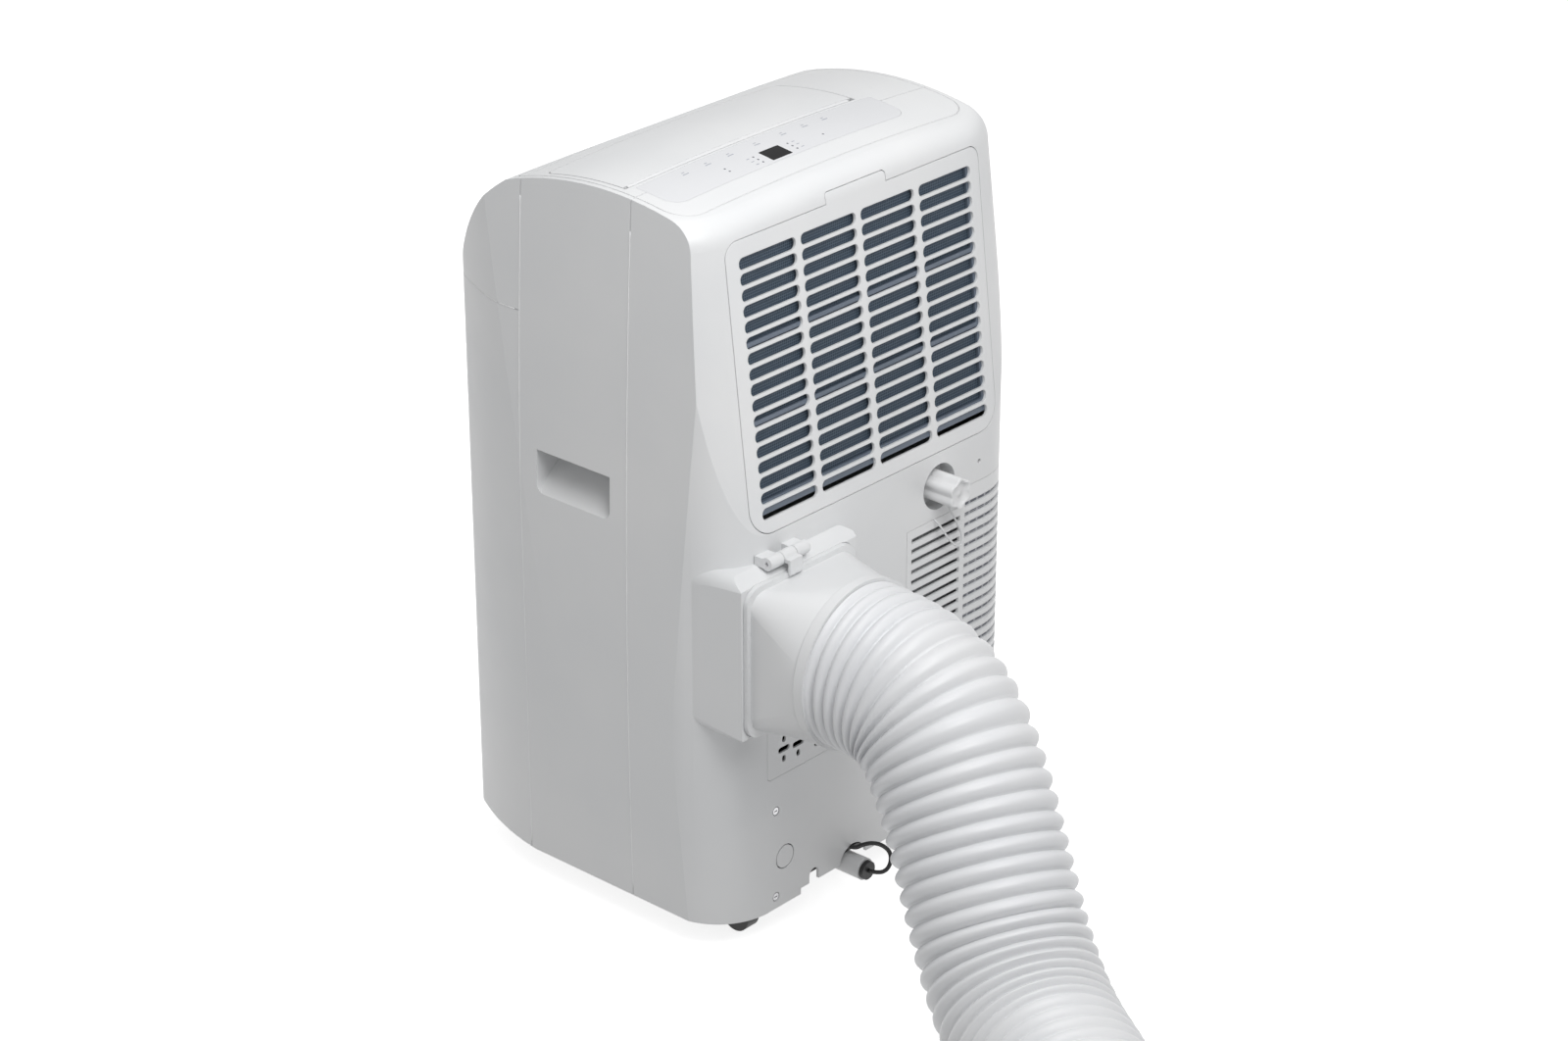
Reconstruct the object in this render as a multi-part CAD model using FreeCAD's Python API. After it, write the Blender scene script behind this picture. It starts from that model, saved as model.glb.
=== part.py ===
import FreeCAD, Part
import math
import os

from FreeCAD import Vector

# A portable air conditioner on casters, with its exhaust duct laid out behind it.
# Millimetres. +Z is up, the front faces -Y, the rear grille and the duct face +Y.
# Depths are counted forwards from the rear face, so depth 0 is the rear plane.

# ---- casing, outside ----
HALF_WIDTH = 208.3        # at the widest height
WIDEST_Z = 212.0
SIDE_BOW_R = 7684.0       # the sides bow in a little towards the top
DEPTH = 360.0             # rear face to the front's furthest point
HEIGHT = 703.0            # floor to the crown of the top
BOTTOM_Z = 30.0           # lower edge of the casing
WALL = 3.0
TOP_ARC_R = 376.0         # the top's arc seen from the side
TOP_APEX_DEPTH = 141.0
TOP_CROWN_R = 3104.0      # the top's slight crown from side to side
REAR_CORNER_R = 60.0
FRONT_CORNER_R = 32.0
FRONT_SWEEP_R = 285.0     # long curve from the side towards the front corner
SWEEP_START_DEPTH = 202.0
FRONT_BOW = 7.0           # how far the front face bows out
ROLL_CLEAR = 0.05         # the roll's upright part stands off the bowed front
FRONT_ROLL_R = 221.7      # the front face rolls back into the top
FRONT_ROLL_DROP = 211.0   # the roll starts this far below the crown
LEAN_START_Z = 407.0      # above this the rear leans forwards
LEAN_DEG = 6.6
LEAN_FLAT_IN = 61.3       # the leaning face's flat part ends this far inside the side
LEAN_EDGE_R = 95.0
SHOULDER_R = 26.0         # leaning rear face into the top

# ---- casing, seams ----
FRONT_SEAM_DEPTH = 242.0
REAR_SEAM_DEPTH = 112.0
FRONT_SPLIT_Z = 563.0     # between the two front panels
SEAM_WIDTH = 1.0
SEAM_DEPTH = 0.5
COVER_FRONT_DEPTH = 252.7
COVER_REAR_DEPTH = 57.0
COVER_HALF = 187.5
COVER_CORNER_R = 26.0

# ---- exhaust outlet and duct ----
OUTLET_X = 128.0
OUTLET_Z = 304.0
BOX_PROUD = 18.0          # outlet box beyond the rear plane
BOX_LEFT = 46.0
BOX_LOW = 232.0
BOX_HIGH = 380.0
BOX_CORNER_R = 15.0
FLANGE_W = 142.0
FLANGE_H = 144.0
FLANGE_T = 5.0
FLANGE_R = 16.0
ADAPTOR_WALL = 2.5
COLLAR_R = 78.0
COLLAR_LEN = 10.0
DUCT_REACH = 90.0         # collar's end beyond the rear plane
HOSE_R = 75.0             # 150 mm duct hose
HOSE_WALL = 1.6
SPIGOT_R = 73.0
CONNECTOR_LEN = 60.0

# ---- upper grille and filter ----
GRILLE_HALF = 166.0
GRILLE_LOW = 406.0
GRILLE_HIGH = 668.0
GRILLE_TOP_R = 14.0
GRILLE_LOW_R = 26.0
GRILLE_GAP = 0.6
SLOT_ROWS = 17
SLOT_COLS = 4
SLOT_PITCH = 13.9
SLOT_H = 10.8
SLOT_AREA_HALF = 152.0
SLOT_BAR = 6.5
SLOT_FIRST_Z = 424.5
TAB_HALF = 39.0
TAB_H = 10.0

# ---- lower grille ----
LG_RIGHT = -38.5
LG_STEP_X = -117.0
LG_TOP_LOW = 341.0
LG_TOP_HIGH = 358.0
LG_BOTTOM = 112.0
LG_WRAP_DEPTH = 96.0
LG_PITCH = 10.4
LG_BAR = 5.6
LG_POST = 7.0

# ---- flap, vanes ----
FLAP_X = 35.0             # the flap is set towards the outlet's side
FLAP_HALF = 146.0
FLAP_FRONT_DEPTH = 223.0
FLAP_REAR_DEPTH = 130.0
FLAP_T = 2.6
FLAP_GAP = 1.0
FLAP_KNUCKLE_R = 6.5
FLAP_PIN_R = 2.0
KNUCKLE_SUNK = 0.3        # the barrel lies this far below the flap's top
VANE_COUNT = 5
VANE_PITCH = 54.0
VANE_H = 34.0
VANE_T = 2.0
VANE_DROP = 63.0          # the vanes' axes below the crown
PIN_FIT = 0.05            # radial clearance of a pin in its hole

# ---- drains ----
CAP_X = -83.0
CAP_Z = 371.6
CAP_R = 15.5
CAP_LEN = 31.0
NECK_R = 9.0
RECESS_R = 22.0
RECESS_DEEP = 16.0
SPOUT_X = 36.0
SPOUT_Z = 33.0
SPOUT_R = 10.5
SPOUT_WALL = 2.6
SPOUT_OUT = 18.0

# ---- casters ----
CASTER_X = 146.0
CASTER_REAR_DEPTH = 45.0
CASTER_FRONT_DEPTH = 285.0
WHEEL_R = 16.0
WHEEL_W = 15.0
CASTER_TRAIL = 9.0
AXLE_R = 2.5
STEM_R = 4.0
PAN_Z = 44.0
PAN_T = 3.0

# ---- handles ----
HANDLE_FRONT_DEPTH = 221.0
HANDLE_REAR_DEPTH = 132.0
HANDLE_LOW = 398.0
HANDLE_HIGH = 439.0
HANDLE_DEEP = 30.0
HANDLE_RISE = 24.0

# ---- control panel ----
FILM_RIGHT = -127.0
FILM_LEFT = 174.0
FILM_FRONT_DEPTH = 125.0
FILM_REAR_DEPTH = 79.0
FILM_T = 0.8
DISPLAY_X = 35.3
DISPLAY_DEPTH = 91.5
DISPLAY_W = 24.8
DISPLAY_D = 18.0

# ---- details of the rear ----
LATCH_SHIFT = 11.0        # from the outlet's centre line
LATCH_HALF = 8.0
LATCH_EAR = 17.0
LATCH_R = 6.0
LATCH_PIN_R = 2.0
LATCH_RISE = 7.5
LATCH_OUT = 13.0          # hinge line beyond the rear plane
LATCH_TAB_T = 2.5
LATCH_TAB_H = 13.0
PLATE_X = 100.0
PLATE_Z = 192.0
PLATE_W = 98.0
PLATE_H = 56.0
PLATE_T = 2.0
KNOCKOUT_X = 125.7
KNOCKOUT_Z = 79.0
KNOCKOUT_R = 11.0
KNOCKOUT_GAP = 1.0
NOTCH_X = 86.0
NOTCH_Z = 43.0
SCREW_R = 3.5
SCREW_SHANK_R = 1.6
SCREW_SPOTS = [(137.6, 42.0), (-150.0, 42.0), (137.6, 130.0), (-150.0, 90.0)]
SMALL_HOLE_X = -139.6
SMALL_HOLE_Z = 377.4


# ---- insides ----
FAN_Z = 502.0
FAN_R = 108.0
FAN_REAR_DEPTH = 126.0
FAN_FRONT_DEPTH = 212.0
DUCT_FOOT_DROP = 91.0     # the air duct's foot and rim below the crown
DUCT_RIM_DROP = 19.0
DUCT_HALF = 145.0
DUCT_WALL = 2.0
SHEET = 2.0               # wall of the fan housings
LOW_FAN_X = 20.0
LOW_FAN_Z = 216.0
LOW_FAN_R = 100.0
LOW_FAN_REAR_DEPTH = 112.0
LOW_FAN_FRONT_DEPTH = 190.0
MOTOR_R = 38.0
MOTOR_LEN = 46.0
SHAFT_R = 4.0
BLADES = 24
COMPRESSOR_X = -124.0
COMPRESSOR_DEPTH = 228.0
COMPRESSOR_R = 52.0
COMPRESSOR_H = 176.0
COIL_DEPTH = 56.0
COIL_T = 28.0
LOW_COIL_FOOT = 62.0      # clear of the casters' stems
TRAY_Z = 388.0
PIPE_R = 4.0
MESH_T = 0.5
FILTER_T = 3.0
FILTER_RIB = 4.0
FILTER_RIB_ROWS = (6, 11)  # slot rows with a rib of the filter behind them
HOOK_T = 2.4              # the upper grille's lower hooks, behind the shell's wall
HOOK_GAP = 0.4
HOOK_W = 12.0
HOOK_DROP = 5.0
HOOK_X = 118.0

# ---- routes of the hose and the small cords, set out from the rear plane ----
HOSE_ROUTE = [(128, 90, 304), (128, 140, 304), (131.5, 182, 280), (145, 222, 230), (163, 258, 178),
              (187, 304, 116), (216, 356, 84), (252, 418, 78.5), (296, 486, 78), (338, 560, 78), (372, 632, 78)]
TETHER_ROUTE = [(-75, 1.6, 341.6), (-75.6, 6.5, 339.1), (-84, 10.5, 322.6), (-95, 11, 311.1), (-104, 10.5, 308.6),
                (-105.5, 9.5, 318.6), (-100, 8, 331.6), (-94.5, 6.5, 342.1), (-91.5, 6, 347.5), (-90.3, 4.8, 352.5),
                (-89.5, -4.5, 353.4), (-88.9, -10.6, 354.6), (-87.25, -11.1, 360.7)]
STRAP_ROUTE = [(36, 0.8, 50), (35.8, 6.5, 50.5), (32.5, 12, 55), (26, 18, 56.5), (19, 24, 53.5), (14.5, 30, 46.5),
               (18, 34, 39), (26, 35.5, 34), (33.5, 31.5, 33), (36, 23, 33)]
TETHER_R = 1.0
STRAP_R = 2.0

BIG = 2000.0
REAR_Y = (DEPTH - DUCT_REACH) / 2.0
X, Y, Z = Vector(1, 0, 0), Vector(0, 1, 0), Vector(0, 0, 1)
LATCH_X = OUTLET_X + LATCH_SHIFT
LATCH_Y = REAR_Y + LATCH_OUT
COVER_UNDER_Z = HEIGHT - 60.0
FRONT_ROLL_Z = HEIGHT - FRONT_ROLL_DROP
LEAN_FLAT = HALF_WIDTH - LEAN_FLAT_IN
VANE_Z = HEIGHT - VANE_DROP
DUCT_FOOT_Z = HEIGHT - DUCT_FOOT_DROP
DUCT_RIM_Z = HEIGHT - DUCT_RIM_DROP


def at(depth):
    """The y of a depth counted forwards from the rear plane."""
    return REAR_Y - depth


def box(x0, x1, y0, y1, z0, z1):
    return Part.makeBox(x1 - x0, y1 - y0, z1 - z0, Vector(x0, y0, z0))


def slab(depth_a, depth_b, z0=-BIG, z1=BIG):
    """Everything between two depths."""
    return box(-BIG, BIG, at(max(depth_a, depth_b)), at(min(depth_a, depth_b)), z0, z1)


def rod(r, length, start, direction=Y):
    return Part.makeCylinder(r, length, start, direction)


def ring(r_out, r_in, length, start, direction=Y):
    return rod(r_out, length, start, direction).cut(rod(r_in, length, start, direction))


def wire(edges):
    return Part.Wire([e.toShape() if hasattr(e, "toShape") else e for e in edges])


def polygon(points):
    return Part.Face(Part.makePolygon(points + [points[0]]))


def rounded(cx, cy, w, h, r, plane="xy"):
    """A rounded rectangle face; r is one radius, or (lower, upper) radii."""
    low, high = r if isinstance(r, tuple) else (r, r)
    x0, x1, y0, y1 = cx - w / 2, cx + w / 2, cy - h / 2, cy + h / 2
    corners = [(x0, y0, low, 180), (x1, y0, low, 270), (x1, y1, high, 0), (x0, y1, high, 90)]
    put = {"xy": lambda a, b: Vector(a, b, 0), "xz": lambda a, b: Vector(a, 0, b),
           "yz": lambda a, b: Vector(0, a, b)}[plane]
    edges = []
    last = None
    first = None
    for px, py, rad, start in corners:
        ox = px + rad if px == x0 else px - rad
        oy = py + rad if py == y0 else py - rad
        arc = []
        for turn in (0, 45, 90):
            a = math.radians(start + turn)
            arc.append(put(ox + rad * math.cos(a), oy + rad * math.sin(a)))
        if last is not None:
            edges.append(Part.LineSegment(last, arc[0]))
        else:
            first = arc[0]
        edges.append(Part.Arc(arc[0], arc[1], arc[2]))
        last = arc[2]
    edges.append(Part.LineSegment(last, first))
    return Part.Face(wire(edges))


def arc_points(cx, cy, r, a0, a1):
    """Start, middle and end of an arc, angles in degrees from +X."""
    out = []
    for a in (a0, (a0 + a1) / 2.0, a1):
        out.append((cx + r * math.cos(math.radians(a)), cy + r * math.sin(math.radians(a))))
    return out


def plan_prism(inset, z0, z1):
    """The casing's plan, extruded upwards."""
    half = HALF_WIDTH - inset
    rear = REAR_Y - inset
    rc = REAR_CORNER_R - inset
    sweep = FRONT_SWEEP_R - inset
    corner = FRONT_CORNER_R - inset
    sweep_y = at(SWEEP_START_DEPTH)
    sweep_x = half - sweep
    # the sweep hands over to the front corner where the corner just reaches the bowed front
    front_y = at(DEPTH) + inset
    corner_y = front_y + FRONT_BOW + corner
    turn = math.asin((sweep_y - corner_y) / (sweep - corner))
    corner_x = sweep_x + (sweep - corner) * math.cos(turn)
    bow_x = corner_x
    pts = []
    pts.append(arc_points(half - rc, rear - rc, rc, 90, 0))
    a = math.degrees(turn)
    pts.append(arc_points(sweep_x, sweep_y, sweep, 0, -a))
    pts.append(arc_points(corner_x, corner_y, corner, -a, -90))
    right = [[Vector(x, y, z0) for x, y in arc] for arc in pts]
    left = [[Vector(-v.x, v.y, z0) for v in reversed(arc)] for arc in reversed(right)]
    edges = []
    arcs = right + [[Vector(bow_x, front_y + FRONT_BOW, z0), Vector(0, front_y, z0),
                     Vector(-bow_x, front_y + FRONT_BOW, z0)]] + left
    for i, arc in enumerate(arcs):
        edges.append(Part.Arc(*arc))
        following = arcs[(i + 1) % len(arcs)]
        if (arc[2] - following[0]).Length > 1e-6:
            edges.append(Part.LineSegment(arc[2], following[0]))
    return Part.Face(wire(edges)).extrude(Vector(0, 0, z1 - z0))


def half_width(z, inset=0.0):
    return HALF_WIDTH - inset - (z - WIDEST_Z) ** 2 / (2.0 * SIDE_BOW_R)


def outline_prism(inset, z0, z1):
    """The casing seen from the front, extruded from back to front."""
    mid = (z0 + z1) / 2.0
    left = [Vector(half_width(z, inset), BIG, z) for z in (z0, mid, z1)]
    right = [Vector(-v.x, BIG, v.z) for v in left]
    edges = [Part.Arc(*left), Part.LineSegment(left[2], right[2]),
             Part.Arc(right[2], right[1], right[0]), Part.LineSegment(right[0], left[0])]
    return Part.Face(wire(edges)).extrude(Vector(0, -2 * BIG, 0))


def roll_prism(inset, z0):
    """The front's profile from the side: upright, then rolling back into the top."""
    r = FRONT_ROLL_R - inset
    front = at(DEPTH) + inset - ROLL_CLEAR
    cy = front + r
    far = BIG
    a = math.radians(60.0)
    edges = [Part.LineSegment(Vector(-BIG, front, z0), Vector(-BIG, front, FRONT_ROLL_Z)),
             Part.Arc(Vector(-BIG, front, FRONT_ROLL_Z),
                      Vector(-BIG, cy - r * math.cos(a), FRONT_ROLL_Z + r * math.sin(a)),
                      Vector(-BIG, cy, FRONT_ROLL_Z + r)),
             Part.LineSegment(Vector(-BIG, cy, FRONT_ROLL_Z + r), Vector(-BIG, far, FRONT_ROLL_Z + r)),
             Part.LineSegment(Vector(-BIG, far, FRONT_ROLL_Z + r), Vector(-BIG, far, z0)),
             Part.LineSegment(Vector(-BIG, far, z0), Vector(-BIG, front, z0))]
    return Part.Face(wire(edges)).extrude(Vector(2 * BIG, 0, 0))


def top_tool(inset, z0):
    """Everything under the crowned top."""
    axis_z = HEIGHT - TOP_ARC_R
    apex_y = at(TOP_APEX_DEPTH)
    top = HEIGHT - inset
    edge_x = HALF_WIDTH + 20.0
    edge_z = top - edge_x ** 2 / (2.0 * TOP_CROWN_R)
    low_l, low_r = Vector(-edge_x, apex_y, axis_z), Vector(edge_x, apex_y, axis_z)
    high_l, high_r = Vector(-edge_x, apex_y, edge_z), Vector(edge_x, apex_y, edge_z)
    face = Part.Face(wire([Part.LineSegment(low_l, high_l), Part.Arc(high_l, Vector(0, apex_y, top), high_r),
                           Part.LineSegment(high_r, low_r), Part.LineSegment(low_r, low_l)]))
    half_turn = face.revolve(Vector(0, apex_y, axis_z), X, 90)
    other = face.revolve(Vector(0, apex_y, axis_z), X, -90)
    lower = box(-edge_x, edge_x, at(DEPTH) - 100, REAR_Y + 100, z0, axis_z)
    return half_turn.fuse([other, lower]).removeSplitter()


def lean_tool(inset, z0):
    """Everything in front of the rear, which leans forwards above LEAN_START_Z."""
    rear = REAR_Y - inset
    r = LEAN_EDGE_R - inset
    sweep = 46.0
    left = [Vector(x, y, LEAN_START_Z) for x, y in arc_points(LEAN_FLAT, rear - r, r, 90, 90 - sweep)]
    right = [Vector(-v.x, v.y, v.z) for v in left]
    front = at(DEPTH) - 200
    edges = [Part.LineSegment(right[0], left[0]), Part.Arc(*left),
             Part.LineSegment(left[2], Vector(left[2].x, front, LEAN_START_Z)),
             Part.LineSegment(Vector(left[2].x, front, LEAN_START_Z), Vector(right[2].x, front, LEAN_START_Z)),
             Part.LineSegment(Vector(right[2].x, front, LEAN_START_Z), right[2]),
             Part.Arc(right[2], right[1], right[0])]
    rise = HEIGHT - LEAN_START_Z + 60.0
    lean = Vector(0, -rise * math.tan(math.radians(LEAN_DEG)), rise)
    upper = Part.Face(wire(edges)).extrude(lean)
    lower = box(-BIG, BIG, front, REAR_Y - inset + 0.0, z0, LEAN_START_Z)
    return upper.fuse(lower)


def casing(inset, z0=BOTTOM_Z):
    """The casing as a solid, moved inwards by inset all round except at its open bottom."""
    top = HEIGHT + 40.0
    body = plan_prism(inset, z0, top)
    body = body.common(outline_prism(inset, z0, top))
    body = body.common(roll_prism(inset, z0))
    body = body.common(lean_tool(inset, z0))
    body = body.common(top_tool(inset, z0))
    edges = []
    for e in body.Edges:
        b = e.BoundBox
        if b.ZMin > LEAN_START_Z + 200 and b.YMin > at(REAR_SEAM_DEPTH) and b.XLength > b.ZLength:
            edges.append(e)
    return body.makeFillet(SHOULDER_R - inset, edges)



def save(name, shape):
    if shape.ShapeType == "Compound" and len(shape.Solids) == 1:
        shape = shape.Solids[0]
    print(f"{name:24s} solids {len(shape.Solids)} valid {shape.isValid()} volume {shape.Volume / 1000.0:9.2f} cm3")
    shape.exportStep(f"parts/{name}.step")


def fused(shapes):
    return shapes[0].fuse(shapes[1:]).removeSplitter() if len(shapes) > 1 else shapes[0]


def prism(face, start, length, direction):
    """A face carried to start and extruded along direction."""
    moved = face.copy()
    moved.translate(start)
    return moved.extrude(direction * length)


def mirrored(shape):
    return shape.mirror(Vector(0, 0, 0), X)


def tube_path(points, share=0.45):
    """Straight runs joined by tangent arcs; returns the wire and the arcs' radii."""
    edges = []
    radii = []
    last = points[0]
    for a, b, c in zip(points, points[1:], points[2:]):
        before, after = (a - b), (c - b)
        shorter = min(before.Length, after.Length)
        before.normalize()
        after.normalize()
        turn = math.pi - before.getAngle(after)
        back = share * shorter
        radius = back / math.tan(turn / 2.0)
        start, end = b + before * back, b + after * back
        inward = (before + after)
        inward.normalize()
        centre = b + inward * (radius / math.cos(turn / 2.0))
        middle = centre - inward * radius
        edges.append(Part.LineSegment(last, start))
        edges.append(Part.Arc(start, middle, end))
        radii.append(radius)
        last = end
    edges.append(Part.LineSegment(last, points[-1]))
    return wire(edges), radii


def tube(points, r_out, r_in=0.0, share=0.45):
    path, radii = tube_path(points, share)
    direction = points[1] - points[0]
    direction.normalize()

    def pipe(r):
        return path.makePipe(Part.Face(Part.Wire(Part.makeCircle(r, points[0], direction))))

    solid = pipe(r_out)
    area = math.pi * (r_out ** 2 - r_in ** 2)
    if r_in > 0.0:
        solid = solid.cut(pipe(r_in))
    print("   radii", [round(r, 1) for r in radii], "length", round(path.Length, 1),
          "volume ratio", round(solid.Volume / (area * path.Length), 3))
    return solid


# ---- tilted frame of the upper grille ----
LEAN = math.radians(LEAN_DEG)
UP_LEAN = Vector(0, -math.sin(LEAN), math.cos(LEAN))
OUT_LEAN = Vector(0, math.cos(LEAN), math.sin(LEAN))
LEAN_FOOT = Vector(0, REAR_Y, LEAN_START_Z)


def on_lean(x, z, out=0.0):
    """A point on the leaning rear face at height z, out millimetres proud of it."""
    return LEAN_FOOT + UP_LEAN * ((z - LEAN_START_Z) / math.cos(LEAN)) + OUT_LEAN * out + X * x


def lean_prism(cx, z_low, z_high, w, r, out0, out1):
    """A rounded rectangle lying in the leaning face, extruded along its normal."""
    h = (z_high - z_low) / math.cos(LEAN)
    face = rounded(0, 0, w, h, r, "xz")
    face.rotate(Vector(0, 0, 0), X, LEAN_DEG)
    return prism(face, on_lean(cx, (z_low + z_high) / 2.0, out0), out1 - out0, OUT_LEAN)


# ---- casing panels ----
def cover_region(grow):
    """The top cover's outline, with rounded rear corners, as an upright prism."""
    depth_mid = (COVER_FRONT_DEPTH + COVER_REAR_DEPTH) / 2.0
    long = COVER_FRONT_DEPTH - COVER_REAR_DEPTH + 2 * grow
    face = rounded(0, at(depth_mid), 2 * (COVER_HALF + grow), long, (4.0, COVER_CORNER_R + grow))
    return prism(face, Vector(0, 0, COVER_UNDER_Z), 200.0, Z)




def panel_grooves(outer, skin):
    """Shallow grooves that mark where the casing's panels meet."""
    rim = outer.cut(skin)
    upright = [slab(d - SEAM_WIDTH / 2, d + SEAM_WIDTH / 2) for d in (FRONT_SEAM_DEPTH, REAR_SEAM_DEPTH)]
    split = slab(FRONT_SEAM_DEPTH, DEPTH + 50, FRONT_SPLIT_Z - SEAM_WIDTH / 2, FRONT_SPLIT_Z + SEAM_WIDTH / 2)
    edge = cover_region(SEAM_WIDTH / 2).cut(cover_region(-SEAM_WIDTH / 2))
    return rim.common(fused(upright + [split, edge]))


def handle_cavity(grow):
    """The finger pocket in a side panel: its floor slopes up as it goes in."""
    mouth = HALF_WIDTH + 20.0
    deep = half_width(HANDLE_LOW) - HANDLE_DEEP - grow
    side = [Vector(mouth, 0, HANDLE_LOW - grow), Vector(half_width(HANDLE_LOW), 0, HANDLE_LOW - grow),
            Vector(deep, 0, HANDLE_LOW + HANDLE_RISE - grow), Vector(deep, 0, HANDLE_HIGH + HANDLE_RISE + grow),
            Vector(half_width(HANDLE_HIGH) - WALL - 1.0, 0, HANDLE_HIGH + HANDLE_RISE + grow),
            Vector(half_width(HANDLE_HIGH) - WALL - 1.0, 0, HANDLE_HIGH + grow), Vector(mouth, 0, HANDLE_HIGH + grow)]
    wedge = prism(polygon(side), Vector(0, at(HANDLE_FRONT_DEPTH) - 50, 0), 300.0, Y)
    mid = at((HANDLE_FRONT_DEPTH + HANDLE_REAR_DEPTH) / 2.0)
    long = HANDLE_FRONT_DEPTH - HANDLE_REAR_DEPTH + 2 * grow
    tall = HANDLE_HIGH - HANDLE_LOW + HANDLE_RISE + 2 * grow
    face = rounded(mid, HANDLE_LOW - grow + tall / 2.0, long, tall, (9.0 + grow, 9.0 + grow), "yz")
    return wedge.common(prism(face, Vector(100, 0, 0), 200.0, X))


def side_panel(shell, outer):
    panel = shell.common(slab(FRONT_SEAM_DEPTH, REAR_SEAM_DEPTH)).common(box(0, BIG, -BIG, BIG, -BIG, BIG))
    pocket = handle_cavity(2.5).common(outer)
    return panel.fuse(pocket).cut(handle_cavity(0.0)).removeSplitter()


def outlet_box():
    """The raised surround of the exhaust outlet, moulded on the rear shell."""
    right = OUTLET_X + FLANGE_W / 2.0 + 8.0
    side = [Vector(0, at(60), BOX_LOW - 6), Vector(0, REAR_Y, BOX_LOW - 6), Vector(0, REAR_Y + BOX_PROUD, BOX_LOW),
            Vector(0, REAR_Y + BOX_PROUD, BOX_HIGH - 4), Vector(0, REAR_Y + 1, BOX_HIGH + 3), Vector(0, at(60), BOX_HIGH + 3)]
    block = prism(polygon(side), Vector(BOX_LEFT, 0, 0), right - BOX_LEFT, X)
    flank = polygon([Vector(BOX_LEFT - 1, at(70), 0), Vector(BOX_LEFT - 1, REAR_Y + 1, 0),
                     Vector(BOX_LEFT + 6, REAR_Y + BOX_PROUD, 0), Vector(right - 5, REAR_Y + BOX_PROUD, 0),
                     Vector(right - 3, at(30), 0), Vector(right - 3, at(70), 0)])
    outline = rounded((BOX_LEFT + right) / 2.0 - 2.0, (BOX_LOW + BOX_HIGH) / 2.0 - 1.5, right - BOX_LEFT - 2.0,
                      BOX_HIGH - BOX_LOW + 9.0, BOX_CORNER_R, "xz")
    block = block.common(prism(flank, Vector(0, 0, 0), 600.0, Z))
    return block.common(prism(outline, Vector(0, at(90), 0), 200.0, Y))


def lower_grille_region(grow):
    """Where the lower grille sits: two heights, wrapping round the rear corner."""
    y_front = at(LG_WRAP_DEPTH) - grow
    low = box(LG_STEP_X - 1, LG_RIGHT + grow, at(20), REAR_Y + 30, LG_BOTTOM - grow, LG_TOP_LOW + grow)
    high = box(-BIG, LG_STEP_X + grow, y_front, REAR_Y + 30, LG_BOTTOM - grow, LG_TOP_HIGH + grow)
    return low.fuse(high)


def pin_slot(x, z, w, h, deep):
    r = min(w, h) / 2.0 * 0.98
    return prism(rounded(x, z, w, h, r, "xz"), Vector(0, REAR_Y - deep, 0), deep + 5, Y)


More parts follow.
